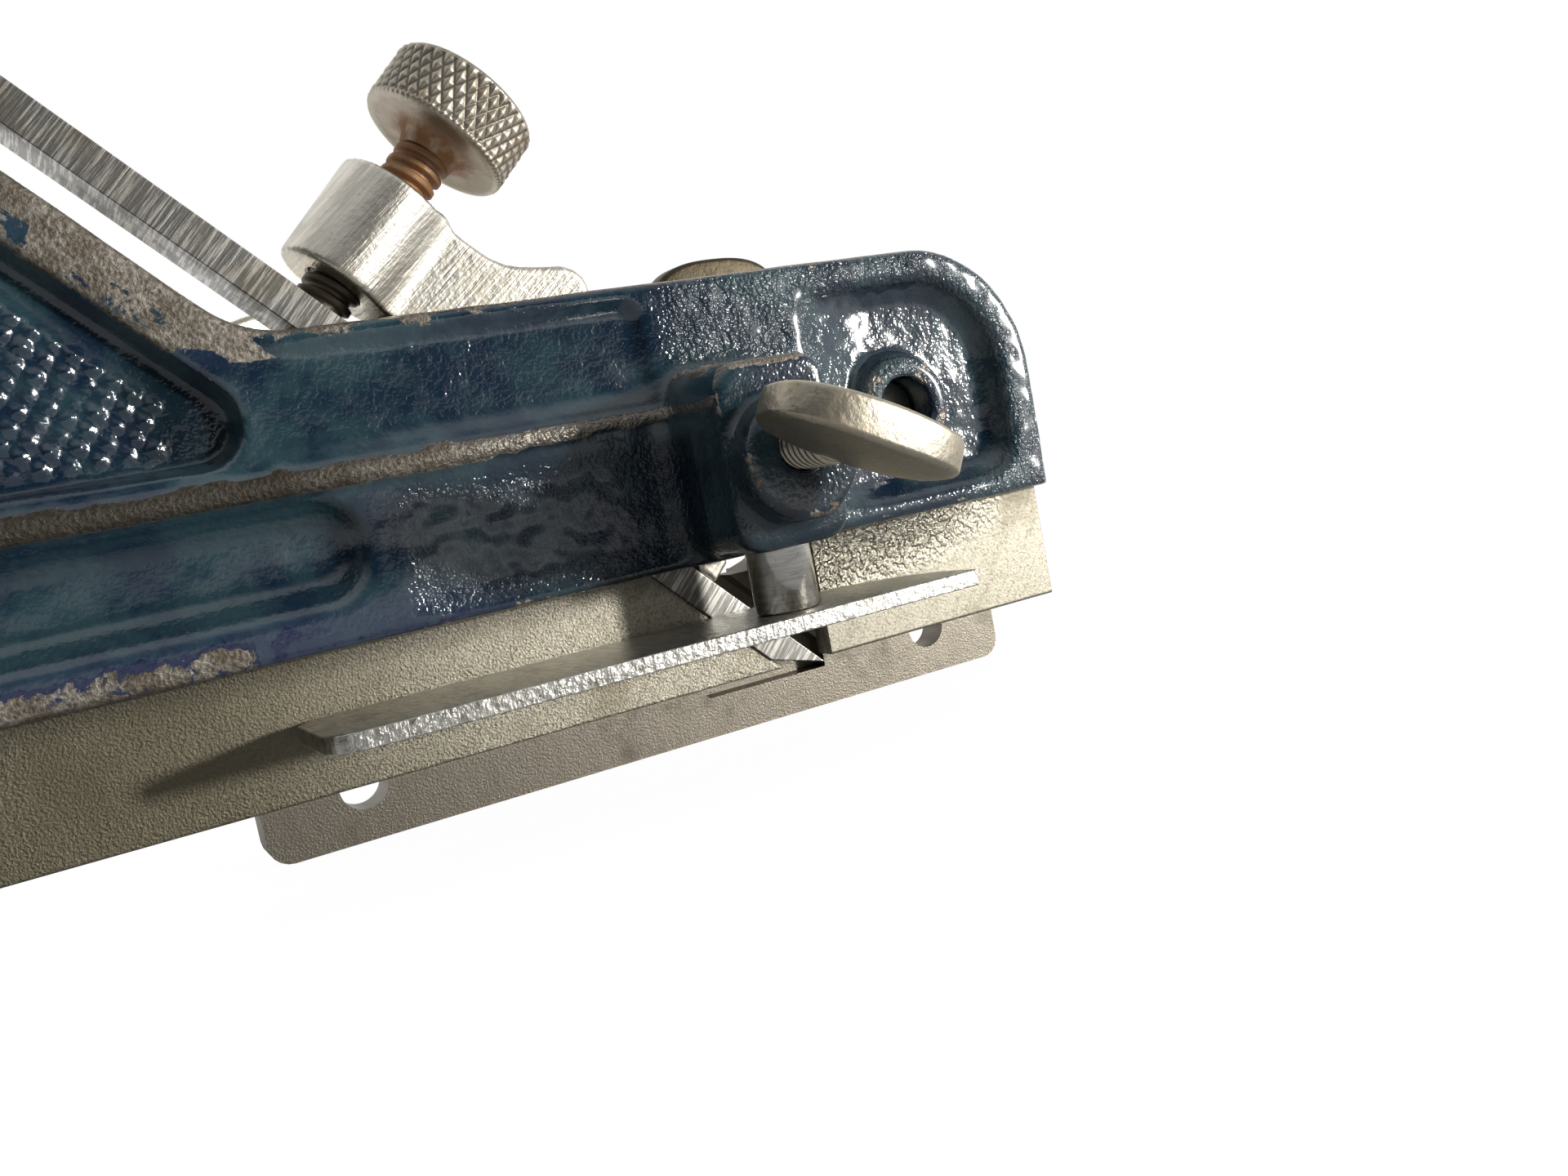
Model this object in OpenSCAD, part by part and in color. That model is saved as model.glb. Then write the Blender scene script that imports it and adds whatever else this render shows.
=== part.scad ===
// Small metal plough plane: a cast body with a thin skate and a fin-shaped handle, a narrow iron
// under a lever cap, a depth stop on the right and a fence on two arms on the left.
// X runs to the toe, Y to the left (the fence side), Z up. The origin is the middle of the sole.

/* [Sole and skate] */
// Length of the sole from heel to toe
sole_l = 146; // [136:1:170]
// Distance from the cutting edge forward to the toe
toe_l = 31.8; // [29:0.2:40]
// Thickness of the skate
skate_t = 2.8; // [2.2:0.1:3.2]
// Height of the bare skate below the casting
skate_h = 12.6; // [11.5:0.1:15]
// Open length of the mouth in front of the cutting edge
mouth_l = 1.6; // [1.2:0.1:3]

/* [Casting] */
// Height of the casting's flat top above the sole
body_h = 40.4; // [39.5:0.1:46]
// Distance from the middle plane to the casting's right face
right_y = 4.4; // [4.2:0.1:6]
// Distance from the middle plane to the handle's left face
left_y = 4.4; // [4:0.1:6]
// Distance from the middle plane to the left cheek beside the iron
cheek_y = 6.6; // [6.4:0.1:6.7]
// Radius of the round corner at the toe
toe_r = 14; // [8:0.5:16]
// Depth of the two flat fields above and below the rib
field_d = 1; // [0.4:0.1:1.4]
// Depth of the handle's panels, the long groove and the recess at the toe
recess_d = 2.4; // [1:0.1:2.8]
// Width of the rim above the upper field and the toe's recess
rim_w = 1.6; // [1:0.1:2.5]
// Width of the band along the handle's front edge
band_w = 4.8; // [3:0.1:6]
// Height of the rib along the middle of the casting
rib_z = 27.8; // [27:0.1:28.6]
// Thickness of that rib
rib_t = 1.5; // [1:0.1:2.5]
// Distance by which the handle's front edge lies behind the iron's bed
handle_gap = 3.6; // [2:0.1:6]
// Height of the horn at the top of the handle
horn_h = 88; // [82:1:95]

/* [Iron and lever cap] */
// Width of the iron
iron_w = 6.35; // [5.5:0.05:6.8]
// Thickness of the iron
iron_t = 3.2; // [2.5:0.1:3.6]
// Length of the iron
iron_l = 96; // [88:1:104]
// Distance by which the iron's edge reaches below the sole
iron_out = 0.5; // [0.1:0.1:1]
// Grinding angle of the iron
grind_angle = 30; // [25:1:35]
// Distance by which the iron stands out past the skate's right face
iron_side = 0.3; // [0.1:0.05:0.5]
// Diameter of the lever cap's round boss
boss_d = 10.8; // [9:0.1:11]
// Height of that boss along its screw
boss_h = 10.5; // [9:0.5:13]
// Distance from the cutting edge up the iron to the lever cap's screw
screw_s = 60; // [58:0.5:64]
// Diameter of the lever cap's screw
cap_screw_d = 5.2; // [4:0.1:6.5]
// Diameter of the knurled knob
knob_d = 14.3; // [11:0.1:17]
// Height of the knurled knob
knob_h = 6.2; // [4:0.1:8]
// Diameter of the lever cap's pivot pin
pivot_d = 3.2; // [2.5:0.1:4]

/* [Depth stop] */
// Diameter of the post
post_d = 6.35; // [5:0.05:7]
// Length of the post above the foot
post_l = 23; // [21:0.5:23.5]
// Distance from the middle plane to the post
post_y = 10.5; // [9.8:0.1:11.5]
// Distance from the cutting edge back to the post
post_back = 7.4; // [6:0.1:8]
// Length of the foot
foot_l = 64; // [50:1:70]
// Width of the foot
foot_w = 14.4; // [12:0.1:14.4]
// Thickness of the foot
foot_t = 1.6; // [1.2:0.1:2.5]
// Height of the foot's underside above the sole
foot_z = 5.4; // [5:0.1:6.5]

/* [Fence] */
// Length of the fence plate
fence_l = 86.7; // [80:0.5:100]
// Thickness of the fence plate
fence_t = 3.97; // [3:0.01:5]
// Height of the fence's lower edge below the sole
fence_drop = 7.3; // [6:0.1:12]
// Height of the fence plate
fence_h = 17; // [14:0.5:18.5]
// Distance from the middle plane to the fence's working face
fence_y = 9.4; // [9.2:0.1:20]
// Distance between the two screw holes for a wooden facing
facing_pitch = 67; // [55:0.5:70]
// Diameter of those holes
facing_d = 4.76; // [3:0.01:6]
// Depth of the notch that clears the iron
notch_d = 2.4; // [2.3:0.1:2.8]

/* [Arms] */
// Diameter of the two fence arms
arm_d = 6.35; // [5:0.05:7]
// Length of an arm
arm_l = 101; // [90:1:104]
// Height of the arms above the sole
arm_z = 24.1; // [22:0.1:25]
// Distance between the two arms
arm_pitch = 54.1; // [52:0.1:56]
// Outer diameter of the fence's round arm bosses
arm_boss_d = 12.4; // [11:0.1:14]
// Length of those bosses
arm_boss_l = 30; // [26:0.5:32]

/* [Thumb screws] */
// Diameter of a thumb screw's shank
thumb_d = 4.7; // [3.5:0.1:5]
// Length of a thumb screw's flat oval head
thumb_l = 18.5; // [16:0.5:23]
// Height of that head along its screw
thumb_w = 11; // [10:0.1:14]
// Thickness of that head
thumb_t = 4; // [3:0.1:5]

/* [Clearances] */
// Radial gap round a part that turns or slides in a bore
run_gap = 0.05; // [0.02:0.01:0.09]
// Radial gap round a part that is fixed in a bore
seat_gap = 0.02; // [0.01:0.01:0.05]
// Gap between faces that press on each other
face_gap = 0.02; // [0.01:0.01:0.05]
// Gap beside the iron and the lever cap in their slot
slot_gap = 0.1; // [0.05:0.01:0.2]

/* [Hidden] */

$fn = 48;
bed_angle = 45; // the bed's pitch, which the outlines below are drawn for
over = 1; // how far a cutter reaches past the face it cuts
edge_x = sole_l / 2 - toe_l; // place of the cutting edge on the sole
heel_x = -sole_l / 2 - edge_x; // from here on, X is measured from the cutting edge
toe_x = toe_l;

slot_y0 = -skate_t / 2 - iron_side - slot_gap; // right wall of the slot for the iron
slot_y1 = slot_y0 + iron_w + 2 * slot_gap; // left wall of that slot
iron_y0 = slot_y0 + slot_gap;
iron_mid_y = iron_y0 + iron_w / 2;
slope = sin(bed_angle);
front_c = -iron_out * 2 * cos(bed_angle) + 0.7; // X + Z on the iron's front face
bed_c = front_c - (iron_t + face_gap) / slope; // X + Z on the bed
handle_c = bed_c - handle_gap / slope; // X + Z on the handle's front edge

front_arm_x = (fence_mid_x() + arm_pitch / 2);
rear_arm_x = front_arm_x - arm_pitch;
ring_r = arm_d / 2 + 2.8;
ring_y = right_y + 0.5;
arm_set_back = 3.9; // from the ring's face to the end of the front arm
blind_y = 1.6; // how far the rear arm's bore reaches past the middle plane
arm_boss_y = fence_y + fence_t;
fence_screw_y = arm_boss_y + arm_boss_l * 0.7;
fence_screw_pad = 1.6; // pad on top of an arm boss round its screw

block_w = 12; // depth-stop block on the casting's right side
block_z0 = skate_h + 0.6;
block_z1 = block_z0 + 17.8;
block_y = post_y + post_d / 2 + 1.8;
stop_boss_r = 5.9;
stop_boss_y = block_y + 3.9;
stop_boss_z = block_z0 + 8.2;
stop_screw_z = stop_boss_z + 1.1; // its screw stands above the middle of its boss
thumb_gap = 4.4; // from a boss's face to the thumb screw's head

pivot_s = 41;
pivot_t = 11.2;
boss_t0 = 2.6;
knob_t = boss_t0 + boss_h + 6.2;
nose_s = 14.5;

function fence_mid_x() = toe_x - 1.1 - fence_l / 2;
// A point s up the iron from its edge and t in front of its face
function on_iron(s, t) = [front_c / 2 + (t - s) * slope, front_c / 2 + (t + s) * slope];
function arc(cx, cz, r, a0, a1, n = 10) =
    [for (i = [0:n]) let (a = a0 + (a1 - a0) * i / n) [cx + r * cos(a), cz + r * sin(a)]];
function bezier(p, q, r, s, n = 12) =
    [for (i = [0:n]) let (u = i / n, v = 1 - u)
        v * v * v * p + 3 * v * v * u * q + 3 * v * u * u * r + u * u * u * s];
function oval(a, b, power = 2.6, n = 44) =
    [for (i = [0:n - 1]) let (c = cos(360 * i / n), s = sin(360 * i / n))
        [a * sign(c) * pow(abs(c), 2 / power), b * sign(s) * pow(abs(s), 2 / power)]];

// Draws a flat X-Z shape as a slab from y0 to y1
module slab(y0, y1) translate([0, y1, 0]) rotate([90, 0, 0]) linear_extrude(y1 - y0) children();
module rod_y(x, z, r, y0, y1) translate([x, y0, z]) rotate([-90, 0, 0]) cylinder(r = r, h = y1 - y0);
module rod_z(x, y, r, z0, z1) translate([x, y, z0]) cylinder(r = r, h = z1 - z0);
module round_box(x0, x1, z0, z1, r)
    polygon(concat(arc(x1 - r, z0 + r, r, -90, 0, 5), arc(x1 - r, z1 - r, r, 0, 90, 5),
                   arc(x0 + r, z1 - r, r, 90, 180, 5), arc(x0 + r, z0 + r, r, 180, 270, 5)));
// A rod that stands square on the iron's face, s up the iron, from t0 to t1
module rod_on_iron(s, r, t0, t1)
    translate([on_iron(s, t0)[0], iron_mid_y, on_iron(s, t0)[1]])
        rotate([0, 90 - bed_angle, 0]) cylinder(r = r, h = t1 - t0);

fillet_r = 10;
horn_x = handle_c - horn_h + 1; // the horn stays behind the iron's path
grip_x = heel_x + 15;

module body_outline()
    polygon(concat(
        [[heel_x, skate_h], [toe_x, skate_h]],
        arc(toe_x - toe_r, body_h - toe_r, toe_r, 0, 90, 14),
        arc(handle_c - body_h + fillet_r * tan(22.5), body_h + fillet_r, fillet_r, -90, -135, 8),
        bezier([handle_c - 57, 57], [handle_c - 69, 69], [horn_x + 9, horn_h - 6], [horn_x + 3, horn_h]),
        bezier([horn_x - 1, horn_h], [horn_x - 5, horn_h], [horn_x - 6, horn_h - 5],
               [horn_x - 4, horn_h - 12], 8),
        bezier([horn_x - 3.6, horn_h - 14], [horn_x - 1, horn_h - 24], [grip_x + 10, body_h + 8],
               [grip_x - 1, body_h - 8]),
        bezier([grip_x - 2, body_h - 10], [grip_x - 7, skate_h + 12], [heel_x + 1, skate_h + 10],
               [heel_x, skate_h + 6], 8)));

module skate_outline() {
    polygon([[heel_x, 0], [bed_c, 0], [bed_c - skate_h - over, skate_h + over],
             [heel_x, skate_h + over]]);
    translate([mouth_l, 0]) square([toe_x - mouth_l, skate_h + over]);
}

// The slot that the iron and the lever cap lie in, open at the top and at the mouth
module slot_outline() {
    ear = on_iron(41.2, 16.6);
    polygon([[bed_c + over, -over], [mouth_l, -over], [mouth_l, skate_h], [mouth_l - 4, skate_h + 3.2],
             [ear[0] + 0.9, body_h - 10.6], [ear[0] + 0.9, body_h + over],
             [bed_c - body_h - over, body_h + over]]);
}

block_x0 = -post_back - block_w / 2;
rib_top = rib_z + rib_t / 2;
rib_low = rib_z - rib_t / 2;

module field_shapes() {
    // Upper and lower field
    round_box(handle_c - body_h + 0.6, block_x0 - 0.6, rib_top + 0.4, body_h - rim_w, 2);
    round_box(bed_c - body_h + 3.4, block_x0 - 0.6, skate_h + 2, rib_low - 0.4, 2);
}

module recess_shapes() {
    // Long groove behind the lower field, with a round end
    round_box(heel_x + 5.4, bed_c - body_h + 1.3, skate_h + 4.2, rib_low - 0.9, 4);
    handle_panel();
    toe_panel();
}

// The handle's panel runs beside the front band, down to a round end above the rib
module handle_panel() {
    band_c = handle_c - band_w / slope;
    end_r = 4;
    end_z = rib_top + end_r + 0.6;
    polygon(concat(
        [[grip_x + 6, rib_top + 1]],
        arc(band_c - end_r / slope - end_z, end_z, end_r, -90, 45, 6),
        [[band_c - 60, 60]],
        arc(horn_x + 3, horn_h - 16, 4, 50, 150, 5),
        [[horn_x + 3, horn_h - 24], [grip_x + 10, body_h + 2]]));
}

module toe_panel()
    polygon(concat(
        arc(toe_x - toe_r, body_h - toe_r, toe_r - rim_w - 2, 0, 90, 10),
        arc(mouth_l + 3.4, body_h - rim_w - 3.2, 2, 90, 180, 4),
        arc(mouth_l + 3.4, skate_h + 4.4, 2, 180, 270, 4),
        arc(toe_x - rim_w - 5, skate_h + 5.4, 3, 270, 360, 6)));

module cheek_outline()
    polygon([[mouth_l + 2.5, skate_h], [mouth_l + 2.5, skate_h + 10], [-10, body_h],
             [bed_c - body_h - 2.4, body_h], [bed_c - body_h - 2.4, skate_h + 3], [bed_c - body_h, skate_h]]);

module body_casting() color([0.07, 0.15, 0.22]) translate([edge_x, 0, 0]) {
    difference() {
        union() {
            slab(-skate_t / 2, skate_t / 2) skate_outline();
            difference() {
                slab(-right_y, left_y) body_outline();
                slab(-right_y - over, -right_y + field_d) field_shapes();
                slab(-right_y - over, -right_y + recess_d) recess_shapes();
                slab(left_y - recess_d, left_y + over) handle_panel();
            }
            slab(0, cheek_y) cheek_outline();
            // Bosses that carry the arms, and the ring where the front one shows on the right
            rod_y(front_arm_x, arm_z, arm_boss_d / 2, 0, cheek_y);
            rod_y(rear_arm_x, arm_z, arm_boss_d / 2, 0, cheek_y);
            rod_y(front_arm_x, arm_z, ring_r, -ring_y, 0);
            // Block for the depth stop, with a round boss for its screw
            slab(-block_y, -right_y + recess_d)
                round_box(block_x0, block_x0 + block_w, block_z0, block_z1, 2.5);
            rod_y(-post_back, stop_boss_z, stop_boss_r, -stop_boss_y, -block_y + over);
        }
        slab(slot_y0, slot_y1) slot_outline();
        rod_y(front_arm_x, arm_z, arm_d / 2 + seat_gap, -ring_y - over, cheek_y + over);
        rod_y(rear_arm_x, arm_z, arm_d / 2 + seat_gap, -blind_y, cheek_y + over);
        rod_z(-post_back, -post_y, post_d / 2 + run_gap, block_z0 - over, block_z1 + over);
        rod_y(-post_back, stop_screw_z, thumb_d / 2 + run_gap, -stop_boss_y - over, -post_y);
        pin_at = on_iron(pivot_s, pivot_t);
        rod_y(pin_at[0], pin_at[1], pivot_d / 2 + seat_gap, slot_y0 - 1.4, cheek_y + over);
    }
}

module plane_iron() color([0.45, 0.43, 0.40]) translate([edge_x, 0, 0]) {
    // The edge is ground away behind, from the front face back
    bevel = iron_t / tan(grind_angle);
    low = -iron_out;
    tip = [front_c - low, low];
    slab(iron_y0, iron_y0 + iron_w)
        polygon([tip,
                 tip + [-iron_l * slope, iron_l * slope],
                 tip + [-iron_l * slope - iron_t * slope, iron_l * slope - iron_t * slope],
                 tip + [-bevel * slope - iron_t * slope, bevel * slope - iron_t * slope]]);
}

module lever_outline()
    polygon([on_iron(nose_s, face_gap), on_iron(nose_s + 2, face_gap), on_iron(nose_s + 3.5, 1.2),
             on_iron(screw_s - 8, boss_t0), on_iron(screw_s - boss_d / 2 + 1.5, boss_t0),
             on_iron(screw_s - boss_d / 2 + 1.5, boss_t0 + boss_h),
             on_iron(55.9, 13), on_iron(53.2, 12.8), on_iron(50.6, 12.9), on_iron(47.6, 14.2),
             on_iron(44.5, 16.8), on_iron(43.4, 17.2), on_iron(42.3, 17.2), on_iron(41.2, 16.6),
             on_iron(40.6, 15.9), on_iron(33.4, 9.2), on_iron(20, 4.6), on_iron(nose_s, 2.6)]);

module lever_cap() color([0.76, 0.72, 0.66]) translate([edge_x, 0, 0])
    difference() {
        union() {
            slab(slot_y0 + slot_gap, slot_y1 - slot_gap) lever_outline();
            rod_on_iron(screw_s, boss_d / 2, boss_t0, boss_t0 + boss_h);
        }
        rod_on_iron(screw_s, cap_screw_d / 2 + run_gap, -over, boss_t0 + boss_h + over);
        pin_at = on_iron(pivot_s, pivot_t);
        rod_y(pin_at[0], pin_at[1], pivot_d / 2 + run_gap, slot_y0 - over, slot_y1 + over);
    }

module lever_cap_pin() color([0.55, 0.53, 0.5]) translate([edge_x, 0, 0]) {
    pin_at = on_iron(pivot_s, pivot_t);
    rod_y(pin_at[0], pin_at[1], pivot_d / 2, slot_y0 - 1.4 + face_gap, cheek_y);
}

module lever_cap_screw() color([0.48, 0.3, 0.18]) translate([edge_x, 0, 0])
    rod_on_iron(screw_s, cap_screw_d / 2, face_gap, knob_t - face_gap);

module lever_cap_knob() color([0.66, 0.62, 0.56]) translate([edge_x, 0, 0])
    translate([on_iron(screw_s, knob_t)[0], iron_mid_y, on_iron(screw_s, knob_t)[1]])
        rotate([0, 90 - bed_angle, 0])
            rotate_extrude() polygon([[0, 0], [knob_d / 2 - 0.5, 0], [knob_d / 2, 0.5],
                                      [knob_d / 2, knob_h - 0.6], [knob_d / 2 - 0.6, knob_h],
                                      [0, knob_h]]);

module depth_stop_post() color([0.5, 0.48, 0.45]) translate([edge_x, 0, 0]) {
    rod_z(-post_back, -post_y, post_d / 2, foot_z + foot_t + face_gap, foot_z + foot_t + post_l);
    // Spigot riveted through the foot
    rod_z(-post_back, -post_y, post_d / 4, foot_z, foot_z + foot_t + over);
}

module depth_stop_foot() color([0.62, 0.6, 0.57]) translate([edge_x, 0, 0]) {
    y0 = -skate_t / 2 - 0.5 - foot_w;
    y1 = -skate_t / 2 - 0.5;
    x1 = -post_back + foot_l * 0.29;
    x0 = x1 - foot_l;
    translate([0, 0, foot_z]) difference() {
        linear_extrude(foot_t)
            polygon(concat([[x0 + 2.5, y0], [x1, y0]],
                           bezier([x1, y0 + 0.6], [x1 - 0.5, y0 + 7], [x1 - 4, y1 - 2], [x1 - 13, y1], 10),
                           [[x0 + 1.5, y1], [x0, y1 - 1.5], [x0, y0 + 2.5], [x0 + 0.7, y0 + 0.8]]));
        translate([-post_back, -post_y, -over]) cylinder(r = post_d / 4 + seat_gap, h = foot_t + 2 * over);
    }
}

// A thumb screw along Z with its tip at the origin: a shank and a flat oval head, turned by turn
module thumb_screw(shank_l, turn) rotate([0, 0, turn]) {
    cylinder(r = thumb_d / 2, h = shank_l + 1.5);
    translate([0, thumb_t / 2, shank_l + thumb_w / 2])
        rotate([90, 0, 0]) linear_extrude(thumb_t) polygon(oval(thumb_l / 2, thumb_w / 2));
}

module depth_stop_screw() color([0.7, 0.67, 0.6]) translate([edge_x, 0, 0])
    translate([-post_back, -post_y - post_d / 2 - face_gap, stop_screw_z]) rotate([90, 0, 0])
        thumb_screw(stop_boss_y - post_y - post_d / 2 + thumb_gap, -26);

module fence_screw(x, turn) color([0.6, 0.58, 0.52]) translate([edge_x, 0, 0])
    translate([x, fence_screw_y, arm_z + arm_d / 2 + face_gap])
        thumb_screw(arm_boss_d / 2 - arm_d / 2 + fence_screw_pad + thumb_gap, turn);

module front_fence_screw() fence_screw(front_arm_x, 4);
module rear_fence_screw() fence_screw(rear_arm_x, 23);

module fence_arm(x, y0) color([0.55, 0.53, 0.5]) translate([edge_x, 0, 0])
    translate([x, y0, arm_z]) rotate([-90, 0, 0])
        rotate_extrude() polygon([[0, 0], [arm_d / 2, 0], [arm_d / 2, arm_l - 0.8],
                                  [arm_d / 2 - 0.8, arm_l], [0, arm_l]]);

module front_fence_arm() fence_arm(front_arm_x, -ring_y + arm_set_back);
module rear_fence_arm() fence_arm(rear_arm_x, -blind_y + face_gap);

// One of the fence's two lugs, which widen down into the plate, in its X-Z outline
module lug_outline(x) {
    top = -fence_drop + fence_h;
    polygon(concat(
        [[x - 14, top - 2], [x - 14, top]],
        bezier([x - 13.5, top], [x - 9, top + 1], [x - arm_boss_d / 2, top + 4], [x - arm_boss_d / 2, arm_z], 8),
        bezier([x + arm_boss_d / 2, arm_z], [x + arm_boss_d / 2, top + 4], [x + 9, top + 1],
               [x + 13.5, top], 8),
        [[x + 14, top], [x + 14, top - 2]]));
}

// The notch leans back with the iron, so that the fence can close up to the iron's left side
module notch_outline() {
    z0 = -fence_drop + 4.3;
    lean = fence_h - 4.3 + over;
    polygon([[-8.4, z0], [6.5, z0], [6.5, z0 + 3], [9.5 - lean, z0 + lean], [-8.4 - lean, z0 + lean]]);
}

module fence() color([0.52, 0.5, 0.47]) translate([edge_x, 0, 0]) {
    x0 = fence_mid_x() - fence_l / 2;
    difference() {
        union() {
            slab(fence_y, fence_y + fence_t)
                round_box(x0, x0 + fence_l, -fence_drop, -fence_drop + fence_h, 2.2);
            for (x = [front_arm_x, rear_arm_x]) {
                slab(fence_y + fence_t - over, arm_boss_y + 4) lug_outline(x);
                rod_y(x, arm_z, arm_boss_d / 2, arm_boss_y, arm_boss_y + arm_boss_l);
                rod_z(x, fence_screw_y, thumb_d / 2 + 2.2, arm_z, arm_z + arm_boss_d / 2 + fence_screw_pad);
            }
        }
        // The two holes for a wooden facing
        for (side = [-1, 1])
            rod_y(fence_mid_x() + side * facing_pitch / 2, -fence_drop + 5.5, facing_d / 2,
                  fence_y - over, fence_y + fence_t + over);
        slab(fence_y - over, fence_y + notch_d) notch_outline();
        for (x = [front_arm_x, rear_arm_x]) {
            rod_y(x, arm_z, arm_d / 2 + run_gap, fence_y, arm_boss_y + arm_boss_l + over);
            rod_z(x, fence_screw_y, thumb_d / 2 + run_gap, arm_z,
                  arm_z + arm_boss_d / 2 + fence_screw_pad + over);
        }
    }
}

body_casting();
plane_iron();
lever_cap();
lever_cap_pin();
lever_cap_screw();
lever_cap_knob();
depth_stop_post();
depth_stop_foot();
depth_stop_screw();
fence();
front_fence_arm();
rear_fence_arm();
front_fence_screw();
rear_fence_screw();
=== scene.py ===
# Small cast plough plane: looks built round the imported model. Shapes are worked out in millimetres,
# with X counted from the cutting edge, and are moved into the frame when their mesh is made.
import math

import bpy
import bmesh
import numpy as np
from mathutils import Matrix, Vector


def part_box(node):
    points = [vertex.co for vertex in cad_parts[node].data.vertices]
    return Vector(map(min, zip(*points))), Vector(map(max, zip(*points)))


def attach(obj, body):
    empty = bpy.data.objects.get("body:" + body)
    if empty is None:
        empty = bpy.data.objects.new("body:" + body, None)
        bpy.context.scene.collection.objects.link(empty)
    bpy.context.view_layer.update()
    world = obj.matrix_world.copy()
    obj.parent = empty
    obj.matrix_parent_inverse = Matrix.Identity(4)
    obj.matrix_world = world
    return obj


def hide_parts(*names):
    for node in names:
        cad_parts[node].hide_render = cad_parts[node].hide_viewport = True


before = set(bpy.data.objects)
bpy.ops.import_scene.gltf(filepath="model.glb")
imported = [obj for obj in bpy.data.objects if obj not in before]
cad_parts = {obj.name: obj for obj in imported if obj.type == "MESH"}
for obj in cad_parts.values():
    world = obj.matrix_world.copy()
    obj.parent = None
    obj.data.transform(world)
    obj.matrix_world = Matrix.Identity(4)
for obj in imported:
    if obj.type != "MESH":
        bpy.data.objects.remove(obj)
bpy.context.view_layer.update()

scene = bpy.context.scene
mm = 0.001
root2 = math.sqrt(2)

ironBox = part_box("plane_iron")
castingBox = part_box("body_casting")
pastEdge = 0.493  # how far the iron's box reaches past its cutting edge
edgeX = round(ironBox[1].x / mm - pastEdge, 2)  # place of the cutting edge in the frame
heelX = castingBox[0].x / mm - edgeX
toeX = castingBox[1].x / mm - edgeX
hornZ = castingBox[1].z / mm
frontC = -0.007  # X + Z on the iron's front face
bedC = -4.561  # X + Z on the bed
handleC = -9.652  # X + Z on the handle's front edge
hornX = handleC - hornZ + 1
gripX = heelX + 15
ironMidY = 1.475  # middle of the iron's width
slotHalf = 3.275  # half the width of the slot that it lies in
print("frame loaded, cutting edge at", edgeX, "mm")


def unit(v):
    v = np.array(v, float)
    return v / np.linalg.norm(v)


def facing(x, y, z):  # the turn that carries the axes to three directions
    return Matrix([[x[i], y[i], z[i]] for i in range(3)]).to_4x4()


def addObject(name, data):
    thing = bpy.data.objects.new(name, data)
    scene.collection.objects.link(thing)
    return thing


# Camera
cameraSet = {
    "place": (-72.0 + edgeX, -131.4, 23.4),  # mm
    "right": (0.8568, -0.4798, -0.1891),
    "up": (0.2155, 0.0, 0.9766),
    "lens": 32.8125,
    "sensor": 36.0,
    "near": 0.01,
}


def addCamera(s):
    right = unit(s["right"])
    back = unit(np.cross(right, s["up"]))
    turn = facing(right, np.cross(back, right), back)
    data = bpy.data.cameras.new("camera")
    data.lens = s["lens"]
    data.sensor_width = s["sensor"]
    data.clip_start = s["near"]
    cam = addObject("camera", data)
    cam.matrix_world = Matrix.Translation([v * mm for v in s["place"]]) @ turn
    scene.camera = cam


# Light: a low sun from the toe's side, and a studio that is bright at the toe and behind, dim at the camera
lightSet = {
    "sunFrom": (0.71, -0.70, 0.09),
    "sunPower": 3.1,
    "sunAngle": 5.0,
    "sunColour": (1.0, 0.985, 0.95),
    "panelTo": (0.66, -0.74, 0.16),  # a bright window, seen only in reflections and soft light
    "panel": 0.5,
    "panelCut": (0.958, 0.974),
    "dim": 0.015,  # the dim side, where the camera stands
    "sides": (("X", (0.5, 0.97), 0.75), ("Y", (0.1, 0.8), 0.50), ("Z", (0.25, 0.85), 0.62)),
    "brightest": 1.5,
    "colour": (0.97, 0.985, 1.0, 1.0),
    "mirrorCut": (0.05, 0.35),  # reflections see plain white toward the back
}
floorSet = {
    "size": 4.0,  # m
    "z": -7.35,
    "grey": (0.62, 0.62, 0.62, 1.0),
    "glow": 1.08,
    "share": 0.90,  # of the glow over the shadow
    "litX": (0.07, 0.16),
    "litY": (-0.01, 0.08),
}
white = (1, 1, 1, 1)


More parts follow.
